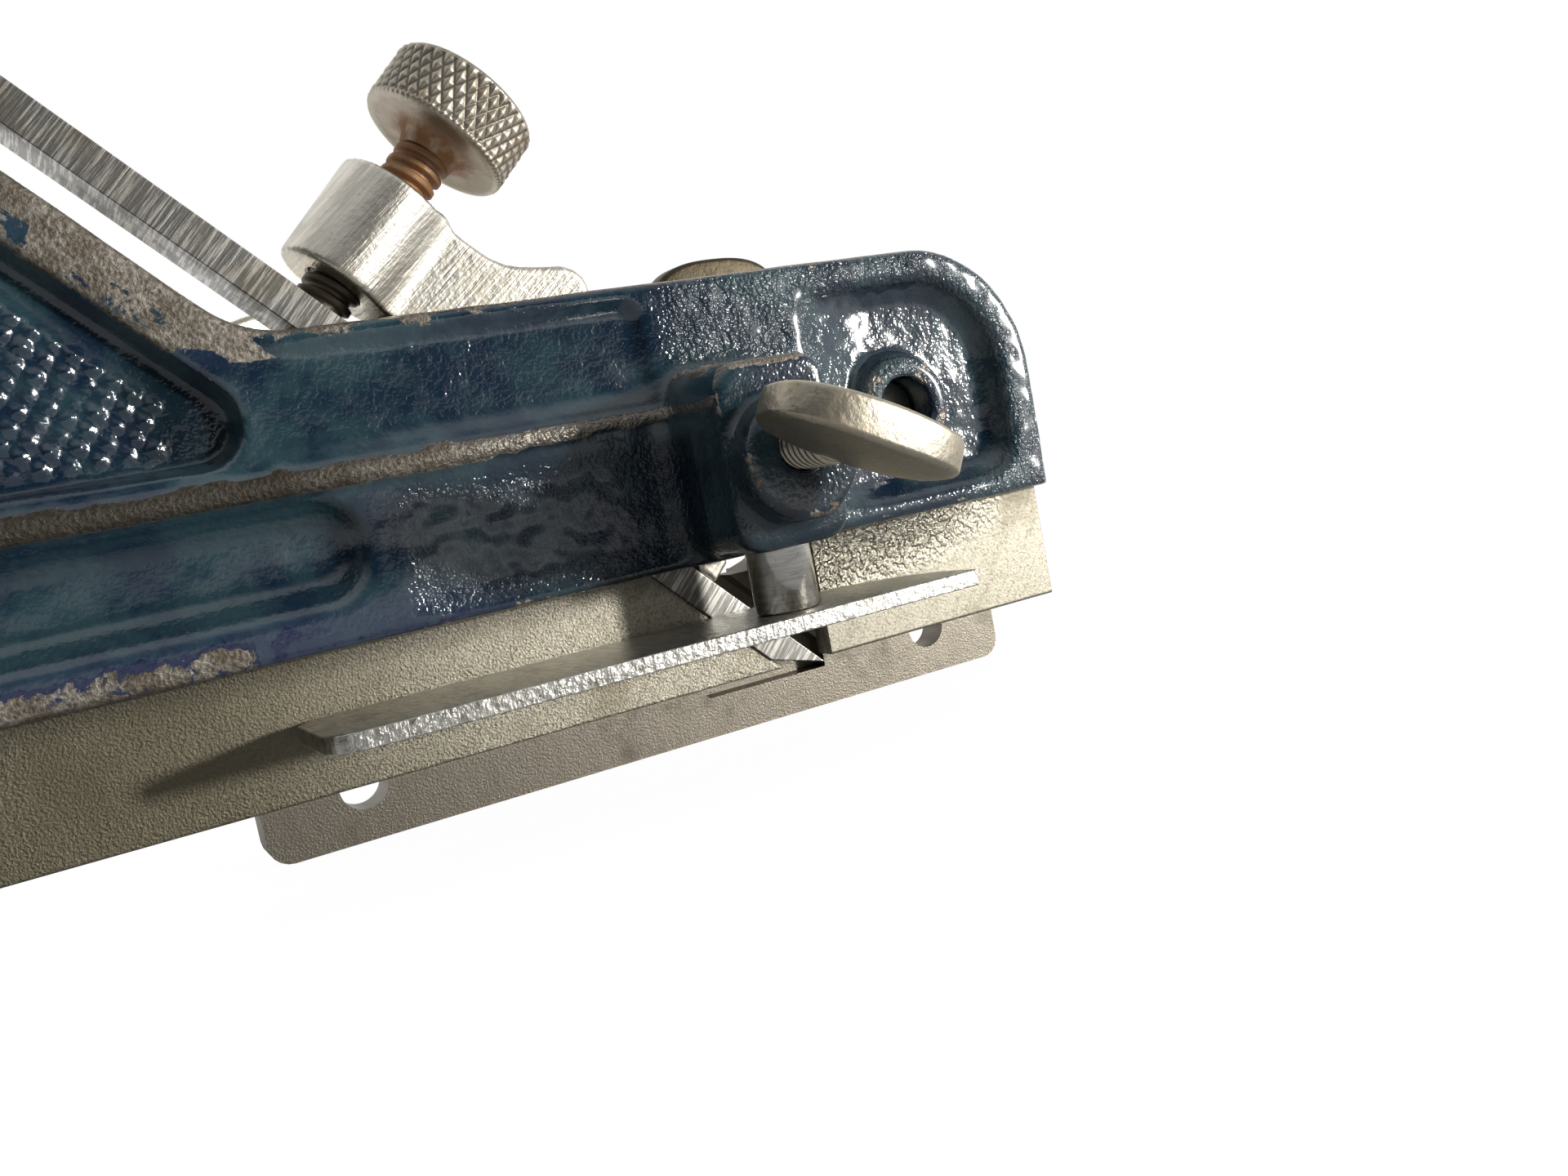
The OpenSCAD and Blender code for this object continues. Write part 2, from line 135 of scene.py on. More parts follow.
class treeTools:  # a node tree, with short names for the nodes used most
    def __init__(self, tree):
        self.tree = tree

    def add(self, kind, inputs=None, **settings):  # inputs are sockets to link or plain values
        node = self.tree.nodes.new(kind if kind.startswith("NodeGroup") else "ShaderNode" + kind)
        for key, value in settings.items():
            setattr(node, key, value)
        for key, value in (inputs or {}).items():
            if isinstance(value, bpy.types.NodeSocket):
                self.tree.links.new(value, node.inputs[key])
            else:
                node.inputs[key].default_value = value
        return node

    def maths(self, kind, *values):
        return self.add("Math", dict(enumerate(values)), operation=kind).outputs[0]

    def plus(self, a, b):
        return self.maths("ADD", a, b)

    def times(self, a, b):
        return self.maths("MULTIPLY", a, b)

    def larger(self, a, b):
        return self.maths("MAXIMUM", a, b)

    def scaled(self, a, factor, offset):  # a x factor + offset
        return self.maths("MULTIPLY_ADD", a, factor, offset)

    def spread(self, value, ends, low=0.0, high=1.0):  # smooth step between the two ends
        inputs = {"Value": value, "From Min": ends[0], "From Max": ends[1], "To Min": low, "To Max": high}
        return self.add("MapRange", inputs, interpolation_type="SMOOTHSTEP").outputs["Result"]

    def mix(self, share, a, b, blend="MIX"):  # a and b are sockets or plain (r, g, b)
        a, b = ((*c, 1.0) if isinstance(c, tuple) else c for c in (a, b))
        mixed = self.add("Mix", {0: share, 6: a, 7: b}, data_type="RGBA", blend_type=blend)
        return mixed.outputs[2]

    def noise(self, where, scale, detail, rough, distortion=0.0):
        return self.add("TexNoise", {"Vector": where, "Scale": scale, "Detail": detail,
                                               "Roughness": rough, "Distortion": distortion}).outputs["Fac"]

    def group(self, group, inputs):
        return self.add("Group", inputs, node_tree=group).outputs[0]


def newMaterial(name):
    material = bpy.data.materials.new(name)
    material.use_nodes = True
    material.node_tree.nodes.clear()
    return material, treeTools(material.node_tree)


def addSun(s):
    sun = bpy.data.lights.new("sun", "SUN")
    sun.energy = s["sunPower"]
    sun.angle = math.radians(s["sunAngle"])
    sun.color = s["sunColour"]
    z = unit(s["sunFrom"])
    x = unit(np.cross((0, 0, 1), z))
    addObject("sun", sun).matrix_world = facing(x, np.cross(z, x), z)


def addStudio(s):
    world = bpy.data.worlds.new("studio")
    scene.world = world
    world.use_nodes = True
    world.node_tree.nodes.clear()
    t = treeTools(world.node_tree)
    way = t.add("TexCoord").outputs["Generated"]
    split = t.add("SeparateXYZ", {0: way}).outputs
    level = s["dim"]
    for axis, ends, power in s["sides"]:
        level = t.plus(level, t.times(t.spread(split[axis], ends), power))
    aim = tuple(unit(s["panelTo"]))
    toPanel = t.add("VectorMath", {0: way, 1: aim}, operation="DOT_PRODUCT").outputs["Value"]
    panel = t.spread(toPanel, s["panelCut"], 0.0, s["panel"])
    level = t.plus(t.maths("MINIMUM", level, s["brightest"]), panel)
    rays = t.add("LightPath").outputs
    mirrored = t.times(rays["Is Glossy Ray"], t.spread(split["Y"], s["mirrorCut"]))
    plain = t.larger(t.larger(rays["Is Camera Ray"], rays["Is Transmission Ray"]), mirrored)
    studio = t.add("Background", {"Color": s["colour"], "Strength": level})
    backdrop = t.add("Background", {"Color": white, "Strength": 1.0})
    mixed = t.add("MixShader", {0: plain, 1: studio.outputs[0], 2: backdrop.outputs[0]})
    t.add("OutputWorld", {"Surface": mixed.outputs[0]})


def addFloor(s):  # white where it is seen, and a grey that takes the shadow under it
    mesh = bpy.data.meshes.new("floor")
    square = [(x * s["size"], y * s["size"], s["z"] * mm) for x, y in ((-1, -1), (1, -1), (1, 1), (-1, 1))]
    mesh.from_pydata(square, [], [(0, 1, 2, 3)])
    floor = addObject("floor", mesh)
    material, t = newMaterial("paleFloor")
    diffuse = t.add("BsdfDiffuse", {"Color": s["grey"]})
    glow = t.add("Emission", {"Color": white, "Strength": s["glow"]})
    rays = t.add("LightPath").outputs
    place = t.add("NewGeometry").outputs["Position"]
    away = t.add("SeparateXYZ", {0: place}).outputs
    lit = t.larger(t.spread(away["Y"], s["litY"]), t.spread(away["X"], s["litX"]))
    seen = t.larger(rays["Is Camera Ray"], rays["Is Transmission Ray"])
    share = t.times(t.larger(seen, t.times(rays["Is Glossy Ray"], lit)), s["share"])
    mixed = t.add("MixShader", {0: share, 1: diffuse.outputs[0], 2: glow.outputs[0]})
    t.add("OutputMaterial", {"Surface": mixed.outputs[0]})
    mesh.materials.append(material)


addCamera(cameraSet)
addSun(lightSet)
addStudio(lightSet)
addFloor(floorSet)
print("camera, light and floor")


# Mesh helpers
def makeMesh(name, points, quads, faces=()):  # points in mm from the cutting edge
    points = np.asarray(points, float).reshape(-1, 3) + (edgeX, 0.0, 0.0)
    quads = np.asarray(quads, np.int64).reshape(-1, 4)
    sizes = np.concatenate([np.full(len(quads), 4), [len(f) for f in faces]]).astype(np.int32)
    corners = np.concatenate([quads.ravel()] + [np.asarray(f) for f in faces]).astype(np.int32)
    mesh = bpy.data.meshes.new(name)
    mesh.vertices.add(len(points))
    mesh.vertices.foreach_set("co", (points * mm).astype(np.float32).ravel())
    mesh.loops.add(len(corners))
    mesh.loops.foreach_set("vertex_index", corners)
    mesh.polygons.add(len(sizes))
    mesh.polygons.foreach_set("loop_start", np.concatenate([[0], np.cumsum(sizes)[:-1]]).astype(np.int32))
    mesh.polygons.foreach_set("use_smooth", np.ones(len(sizes), bool))
    mesh.update(calc_edges=True)
    mesh.validate()
    return addObject(name, mesh)


def paint(piece, **layers):  # one named value per vertex, which a material reads
    for name, values in layers.items():
        layer = piece.data.attributes.new(name, "FLOAT", "POINT")
        layer.data.foreach_set("value", np.asarray(values, np.float32))


def tubeMesh(name, grid, flip=False):  # a closed skin from rows of rings, with a flat cap at each end
    rows, columns = grid.shape[:2]
    a = np.arange(rows - 1)[:, None] * columns
    j = np.arange(columns)[None, :]
    k = (j + 1) % columns
    quads = np.stack([a + j, a + k, a + columns + k, a + columns + j], -1).reshape(-1, 4)
    first = list(range(columns))[::-1]
    last = list(range((rows - 1) * columns, rows * columns))
    if flip:
        quads = quads[:, ::-1]
        first, last = first[::-1], last[::-1]
    return makeMesh(name, grid, quads, [first, last])


def axisFrame(axis):  # two directions square to an axis, so that turn x side = axis
    axis = unit(axis)
    turn = unit(np.cross((0, 1, 0) if abs(axis[1]) < 0.9 else (0, 0, 1), axis))
    return turn, np.cross(axis, turn), axis


def turned(name, base, axis, profile, around=96, radiusAt=None):
    # Surface of revolution: each profile point (radius, height) is carried round the axis
    profile = np.array(profile, float)
    angle = np.linspace(0, 2 * np.pi, around, endpoint=False)
    radius = np.repeat(profile[:, :1], around, 1)
    height = np.repeat(profile[:, 1:], around, 1)
    if radiusAt is not None:
        radius = radiusAt(radius, height, angle[None, :])
    u, v, w = axisFrame(axis)
    rim = np.cos(angle)[:, None] * u + np.sin(angle)[:, None] * v
    return tubeMesh(name, np.array(base) + radius[..., None] * rim + height[..., None] * w)


def onIron(s, t):  # a point s up the iron from its edge and t in front of its face
    return np.array([frontC / 2 + (t - s) / root2, ironMidY, frontC / 2 + (t + s) / root2])


def arc(x, z, r, start, stop, count=12):
    a = np.radians(np.linspace(start, stop, count + 1))
    return np.stack([x + r * np.cos(a), z + r * np.sin(a)], 1)


def bezier(p, q, r, s, count=14):
    u = np.linspace(0, 1, count + 1)[:, None]
    p, q, r, s = (np.array(c, float) for c in (p, q, r, s))
    return (1 - u) ** 3 * p + 3 * (1 - u) ** 2 * u * q + 3 * (1 - u) * u * u * r + u ** 3 * s


def smoothMax(a, b, k):  # the larger of two values, rounded off over k
    h = np.clip(0.5 + 0.5 * (a - b) / k, 0, 1)
    return b + (a - b) * h + k * h * (1 - h)


def smoothMin(a, b, k):
    return -smoothMax(-a, -b, k)


def step(x, low, high):
    t = np.clip((x - low) / (high - low), 0, 1)
    return t * t * (3 - 2 * t)


def softNoise(x, z, cell, seed):  # value noise, from 0 to 1, with one random value per cell corner
    table = np.random.RandomState(seed).rand(64, 64)
    u, v = x / cell + 1000, z / cell + 1000
    i, j = np.floor(u).astype(int), np.floor(v).astype(int)
    fu, fv = u - i, v - j
    fu, fv = fu * fu * (3 - 2 * fu), fv * fv * (3 - 2 * fv)
    a = table[i % 64, j % 64] * (1 - fu) + table[(i + 1) % 64, j % 64] * fu
    b = table[i % 64, (j + 1) % 64] * (1 - fu) + table[(i + 1) % 64, (j + 1) % 64] * fu
    return a * (1 - fv) + b * fv


def noiseSum(x, z, *layers):  # soft noise round zero: each layer is a cell size, a seed and a height
    return sum((softNoise(x, z, cell, seed) - 0.5) * height for cell, seed, height in layers)


def outlineDistance(points, x, z):  # signed distance to a closed outline, negative inside
    points = np.asarray(points, float)
    best = np.full(np.broadcast(x, z).shape, 1e9)
    inside = np.zeros(best.shape, bool)
    for (x0, z0), (x1, z1) in zip(points, np.roll(points, -1, 0)):
        dx, dz = x1 - x0, z1 - z0
        length = dx * dx + dz * dz
        if length < 1e-12:
            continue
        t = np.clip(((x - x0) * dx + (z - z0) * dz) / length, 0, 1)
        best = np.minimum(best, (x - x0 - t * dx) ** 2 + (z - z0 - t * dz) ** 2)
        if z0 != z1:
            inside ^= ((z0 > z) != (z1 > z)) & (x < dx * (z - z0) / dz + x0)
    return np.sqrt(best) * np.where(inside, -1, 1)


def boxDistance(x0, x1, z0, z1, r, x, z):
    dx = np.abs(x - (x0 + x1) / 2) - (x1 - x0) / 2 + r
    dz = np.abs(z - (z0 + z1) / 2) - (z1 - z0) / 2 + r
    return np.hypot(np.maximum(dx, 0), np.maximum(dz, 0)) + np.minimum(np.maximum(dx, dz), 0) - r


def along(axis, part):  # index that takes a part of an array along one axis
    return tuple(part if n == axis else slice(None) for n in range(3))


def surfaceNet(field, xs, ys, zs):
    # Skin of the region where the field is negative: one point in each grid cell that the surface
    # crosses, at the mean of its edge crossings and then slid onto the surface, and one quad per crossed edge
    inside = field < 0
    shape = tuple(n - 1 for n in field.shape)
    corners = [(i, j, k) for i in (0, 1) for j in (0, 1) for k in (0, 1)]
    count = np.zeros(shape, np.uint8)
    for i, j, k in corners:
        count += inside[i:shape[0] + i, j:shape[1] + j, k:shape[2] + k]
    mixed = (count > 0) & (count < 8)
    cells = np.argwhere(mixed)
    index = np.full(shape, -1, np.int64)
    index[mixed] = np.arange(len(cells))
    value = {c: field[tuple((cells + c).T)].astype(float) for c in corners}
    total, number = np.zeros((len(cells), 3)), np.zeros((len(cells), 1))
    for a in corners:
        for axis in range(3):
            if a[axis] == 1:
                continue
            b = tuple(v + (n == axis) for n, v in enumerate(a))
            fa, fb = value[a], value[b]
            crossed = (fa < 0) != (fb < 0)
            t = np.where(crossed, fa / np.where(crossed, fa - fb, 1), 0)
            point = np.tile(np.array(a, float), (len(cells), 1))
            point[:, axis] += t
            total += point * crossed[:, None]
            number += crossed[:, None]
    local = total / number
    size = np.stack([np.diff(s)[cells[:, n]] for n, s in enumerate((xs, ys, zs))], 1)
    for _ in range(2):
        f, slope = np.zeros(len(cells)), np.zeros((len(cells), 3))
        for c in corners:
            w = [local[:, n] if c[n] else 1 - local[:, n] for n in range(3)]
            sign = [1 if c[n] else -1 for n in range(3)]
            f += value[c] * w[0] * w[1] * w[2]
            slope[:, 0] += value[c] * sign[0] * w[1] * w[2]
            slope[:, 1] += value[c] * sign[1] * w[0] * w[2]
            slope[:, 2] += value[c] * sign[2] * w[0] * w[1]
        slope /= size
        move = -f[:, None] * slope / np.maximum((slope ** 2).sum(1), 1e-6)[:, None]
        local = np.clip(local + move / size, 0, 1)
    low = np.stack([s[cells[:, n]] for n, s in enumerate((xs, ys, zs))], 1)
    points = low + local * size
    quads = []
    for axis in range(3):
        u, v = (axis + 1) % 3, (axis + 2) % 3
        a, b = inside[along(axis, slice(None, -1))], inside[along(axis, slice(1, None))]
        for outward, picked in ((True, a & ~b), (False, b & ~a)):
            p = np.argwhere(picked)
            p = p[(p[:, u] > 0) & (p[:, v] > 0) & (p[:, u] < shape[u]) & (p[:, v] < shape[v])]
            du, dv = np.eye(3, dtype=int)[u], np.eye(3, dtype=int)[v]
            ring = [p - du - dv, p - dv, p, p - du]
            ring = ring if outward else ring[::-1]
            quads.append(np.stack([index[r[:, 0], r[:, 1], r[:, 2]] for r in ring], 1))
    return points, np.concatenate(quads), cells


def blurred(inside, reach):  # share of solid in a box of 2 x reach + 1 cells round each grid point
    total = inside.astype(np.float32)
    wide = 2 * reach + 1
    for axis in range(3):
        pad = [(0, 0)] * 3
        pad[axis] = (reach + 1, reach)
        run = np.cumsum(np.pad(total, pad), axis=axis, dtype=np.float32)
        total = (run[along(axis, slice(wide, None))] - run[along(axis, slice(None, -wide))]) / wide
    return total


# Casting
castingSet = {
    "cell": 0.44,  # mm between grid points where the camera looks
    "coarse": 0.66,  # and elsewhere
    "low": 12.6,
    "high": 40.4,
    "rightY": -4.4,
    "leftY": 4.4,
    "cheekY": 6.6,
    "edgeRound": 0.9,
    "fieldDepth": 0.95,
    "recessDepth": 2.5,
    "ribZ": (26.2, 28.7),
    "ribRise": 0.75,
    "bandWidth": 4.8,
    "pebbleStart": (-65.5, 43.1),
    "pebbleStep": ((1.25, -1.20), (-0.93, -1.25)),
    "pebbleR": 0.62,
    "pebbleRise": 0.40,
    "blockX": (-13.4, -1.4),
    "blockZ": (13.2, 31.0),
    "blockY": -15.475,
    "stopX": -7.4,
    "stopY": -10.5,
    "stopZ": 21.4,
    "screwZ": 22.5,
    "boreR": 3.23,
    "boreZ": (11.0, 33.0),
    "screwBoreR": 2.45,
    "bossY": -19.35,
    "bossR": 5.9,
    "armX": (14.4, -39.7),
    "armZ": 24.1,
    "armR": 3.2,
    "ringR": 5.9,
    "ringY": -4.9,
    "toeR": 14.0,
}


def bodyOutline(s):
    low, high = s["low"], s["high"]
    turnR = 10.0
    return np.concatenate([
        [[heelX, low], [toeX, low]],
        arc(toeX - s["toeR"], high - s["toeR"], s["toeR"], 0, 90, 24),
        arc(handleC - high + turnR * math.tan(math.radians(22.5)), high + turnR, turnR, -90, -135, 12),
        bezier((handleC - 57, 57), (handleC - 69, 69), (hornX + 9, hornZ - 6), (hornX + 3, hornZ)),
        bezier((hornX - 1, hornZ), (hornX - 5, hornZ), (hornX - 6, hornZ - 5), (hornX - 4, hornZ - 12)),
        bezier((hornX - 3.6, hornZ - 14), (hornX - 1, hornZ - 24), (gripX + 10, high + 8),
               (gripX - 1, high - 8)),
        bezier((gripX - 2, high - 10), (gripX - 7, low + 12), (heelX + 1, low + 10), (heelX, low + 6)),
    ])


def handlePanel(s):
    bandC = handleC - s["bandWidth"] * root2
    endR = 4.0
    endZ = s["ribZ"][1] + endR + 0.8
    return np.concatenate([
        [[gripX + 6, s["ribZ"][1] + 1.0]],
        arc(bandC - endR * root2 - endZ, endZ, endR, -90, 45, 8),
        [[bandC - 60, 60]],
        arc(hornX + 3, hornZ - 16, 4, 50, 150, 6),
        [[hornX + 3, hornZ - 24], [gripX + 10, s["high"] + 2]],
    ])


def castingMaps(s, x, z):
    # Height maps over X and Z: how far the right and left faces stand from the middle plane, with the
    # distances to the recesses and the masks that the wear is made from
    def dent(distance, depth, steep, rounding):  # a recess with sloping walls and rounded edges
        return smoothMax(smoothMin(-distance * steep, depth, rounding), 0, rounding * 0.6)

    ribLow, ribHigh = s["ribZ"]
    blockX0 = s["blockX"][0]
    upper = boxDistance(handleC - s["high"] - 1.6, blockX0 - 0.4, ribHigh + 0.6, s["high"] - 1.2, 2.2, x, z)
    lower = boxDistance(-41.6, blockX0 + 1.0, s["low"] + 0.9, ribLow - 0.6, 2.0, x, z)
    groove = boxDistance(heelX + 5.4, -43.7, 16.6, 26.0, 4.4, x, z)
    panelLine = handlePanel(s)
    panel = outlineDistance(panelLine, x, z)
    toe = outlineDistance(np.concatenate([
        arc(17.6, 27.2, 10.4, 0, 90, 16),
        arc(6.0, 34.6, 3.0, 90, 180, 5),
        arc(6.0, 18.6, 4.0, 180, 270, 5),
        arc(23.4, 19.3, 4.6, 270, 360, 8)]), x, z)

    place = np.linalg.inv(np.array(s["pebbleStep"]).T)
    fromX, fromZ = x - s["pebbleStart"][0], z - s["pebbleStart"][1]
    u, v = (row[0] * fromX + row[1] * fromZ for row in place)
    cellU, cellV = np.round(u), np.round(v)
    jitter = softNoise(cellU * 7.3, cellV * 7.3, 5.1, 3) - 0.5
    u, v = u - cellU + 0.12 * jitter, v - cellV - 0.1 * jitter
    (ux, uz), (vx, vz) = s["pebbleStep"]
    fromDot = np.hypot(u * ux + v * vx, u * uz + v * vz)
    dots = np.sqrt(np.clip(1 - (fromDot / (s["pebbleR"] + 0.2 * jitter)) ** 2, 0, 1))
    dots = dots * s["pebbleRise"] * (1 + jitter)
    openPanel = outlineDistance(panelLine - np.array([[0, 9.0]]) * (panelLine[:, 1:] < 31), x, z)
    pad = step(-openPanel, 2.3, 4.2) * step(-53.0 - x - 0.25 * (z - 30), 0, 17)
    dots = dots * step(-openPanel, 3.2, 3.9) * step(-57.6 - x + 0.35 * (z - 30), 0, 2.5) * step(z, 30.6, 32)

    lumps = noiseSum(x, z, (7.0, 11, 0.22), (2.6, 12, 0.06), (1.1, 13, 0.05))
    uneven = np.clip(step(-toe, 0.5, 2.5) + step(-lower, -0.5, 1.5) * step(x, -44, -38)
                     + step(x, -13, -10) * step(z, 30, 33) + step(x, 18, 24), 0, 1)
    lumps = lumps + uneven * noiseSum(x, z, (0.9, 14, 0.12), (3.1, 16, 0.08))
    panelDepth = dent(panel, s["recessDepth"] + 0.3, 3.4, 0.8) - pad * 1.2 - dots
    depth = np.maximum.reduce([
        dent(upper, s["fieldDepth"], 1.1, 0.9) * step(x, -58, -22),
        dent(lower, s["fieldDepth"] * 0.7, 0.8, 1.0) * step(x, -43, -33),
        dent(groove, s["recessDepth"], 1.7, 2.3),
        np.maximum(panelDepth, 0),
        dent(toe, s["recessDepth"], 1.5, 1.9) * step(x, 0.0, 14.0)])
    narrow = 0.55 * step(x, -40, -15) + noiseSum(x, z, (1.6, 15, 0.3))
    across = np.abs(z - (ribLow + ribHigh) / 2 - 0.25 * step(x, -40, -15)) / ((ribHigh - ribLow) / 2 - narrow)
    alongRib = step(x, heelX + 4, heelX + 8) * step(-x, -blockX0 - 1.5, -blockX0 + 0.5)
    ribMap = step(1.12 - across, 0, 0.24) * alongRib
    ribBead = np.sqrt(np.clip(1 - across ** 2, 0, 1)) * ribMap
    right = s["rightY"] + depth * (1 - ribMap) - s["ribRise"] * ribBead + lumps * (1 - 0.7 * ribMap)

    cheek = outlineDistance([[4.1, s["low"]], [4.1, 22.6], [-10, s["high"]], [bedC - 42.8, s["high"]],
                             [bedC - 42.8, 15.6], [bedC - 40.4, s["low"]]], x, z)
    bosses = np.minimum(*(np.hypot(x - armX, z - s["armZ"]) for armX in s["armX"])) - 6.2
    raised = np.maximum(step(-cheek, -1.0, 1.0), step(-bosses, -0.5, 0.4))
    leftPanel = dent(panel, s["recessDepth"], 2.6, 1.0) - pad * 1.2 - dots
    leftLumps = noiseSum(x + 31, z, (7.0, 21, 0.28)) + noiseSum(x, z + 17, (2.6, 22, 0.16))
    left = s["leftY"] + (s["cheekY"] - s["leftY"]) * raised - np.maximum(leftPanel, 0) * (1 - raised)
    left = np.minimum(left + leftLumps * (1 - raised), s["cheekY"] + 0.05)
    return dict(right=right, left=left, rib=ribMap, panel=panel, groove=groove, toe=toe, uneven=uneven)


def sampleMap(values, xs, zs, x, z):  # a map's value at points, between its grid points
    i = np.clip(np.searchsorted(xs, x) - 1, 0, len(xs) - 2)
    j = np.clip(np.searchsorted(zs, z) - 1, 0, len(zs) - 2)
    u = (x - xs[i]) / (xs[i + 1] - xs[i])
    v = (z - zs[j]) / (zs[j + 1] - zs[j])
    return (values[i, j] * (1 - u) * (1 - v) + values[i + 1, j] * u * (1 - v)
            + values[i, j + 1] * (1 - u) * v + values[i + 1, j + 1] * u * v)


def makeCasting(s):
    # The casting is the region inside the outline and between the two height maps, joined smoothly to
    # the stop's block, its round boss and the ring, less the iron's slot and the bores
    fine, coarse = s["cell"], s["coarse"]
    xs = np.concatenate([np.arange(heelX - 2, -79, coarse), np.arange(-79, toeX + 1.5, fine)])
    ys = np.arange(s["bossY"] - 1.2, s["cheekY"] + 1.4, fine)
    zs = np.concatenate([np.arange(s["low"] - 1.5, 62, fine), np.arange(62, hornZ + 2, coarse)])
    x2, z2 = xs[:, None], zs[None, :]
    maps = castingMaps(s, x2, z2)
    outline = outlineDistance(bodyOutline(s), x2, z2) + noiseSum(x2, z2, (3.0, 31, 0.12))
    outline = np.where(z2 < s["low"] + 1.0, np.maximum(outline, s["low"] - z2), outline)
    y3 = ys[None, :, None].astype(np.float32)

    def lift(values):  # a map over X and Z, ready to meet Y
        return np.broadcast_to(values, (len(xs), len(zs))).astype(np.float32)[:, None, :]

    field = smoothMax(lift(maps["right"]) - y3, y3 - lift(maps["left"]), 0.5)
    field = smoothMax(field, lift(outline), s["edgeRound"])

    (bx0, bx1), (bz0, bz1) = s["blockX"], s["blockZ"]
    block = boxDistance(bx0, bx1, bz0, bz1, 2.6, x2, z2)
    block = block + 0.35 * step(x2 - bx0, 3, 0) * step(z2, 27, 31)
    block = smoothMax(lift(block), np.maximum(s["blockY"] - y3, y3 + 2.0), 1.0)
    field = smoothMin(field, block, 2.4)
    bossDistance = np.hypot(x2 - s["stopX"], z2 - s["stopZ"]) + noiseSum(x2, z2, (1.6, 41, 0.25))
    boss = smoothMax(lift(bossDistance - s["bossR"]), np.maximum(s["bossY"] - y3, y3 + 12.0), 0.7)
    field = smoothMin(field, boss, 1.1)
    ringDistance = np.hypot(x2 - s["armX"][0], z2 - s["armZ"])
    ringSide = lift(ringDistance) - s["ringR"] + 0.45 * np.clip(-3.2 - y3, 0, 3)
    ring = smoothMax(ringSide, np.maximum(s["ringY"] - y3, y3 - 2.0), 0.7)
    field = smoothMin(field, ring, 0.9)

    ear = onIron(41.2, 16.6)[0] + 1.3
    slot = outlineDistance([[bedC + 2, -2], [1.6, -2], [1.6, 12.6], [-2.4, 15.8], [ear, 29.8],
                            [ear, 44], [bedC - 44, 44]], x2, z2)
    field = np.maximum(field, -np.maximum(lift(slot), np.abs(y3 - ironMidY) - slotHalf))
    field = np.maximum(field, -np.maximum(lift(ringDistance - s["armR"]), y3 - 1.0))
    stopBore = np.hypot(xs[:, None] - s["stopX"], ys[None, :] - s["stopY"])[:, :, None].astype(np.float32)
    boreEnds = np.maximum(s["boreZ"][0] - zs, zs - s["boreZ"][1])[None, None, :]
    field = np.maximum(field, -np.maximum(stopBore - s["boreR"], boreEnds))
    screwBore = np.maximum(lift(np.hypot(x2 - s["stopX"], z2 - s["screwZ"]) - s["screwBoreR"]), y3 + 12)
    field = np.maximum(field, -screwBore)
    field = field.astype(np.float32)
    for edge in (0, -1):
        field[edge], field[:, edge], field[:, :, edge] = 5, 5, 5

    points, quads, cells = surfaceNet(field, xs, ys, zs)
    points[:, 2] = np.maximum(points[:, 2], s["low"])
    nearShare, wideShare = (blurred(field < 0, reach)[tuple(cells.T)] for reach in (3, 8))
    piece = makeMesh("castingShell", points, quads)
    print("casting:", len(quads) * 2, "triangles")
    return piece, points, (xs, zs, maps, nearShare, wideShare)


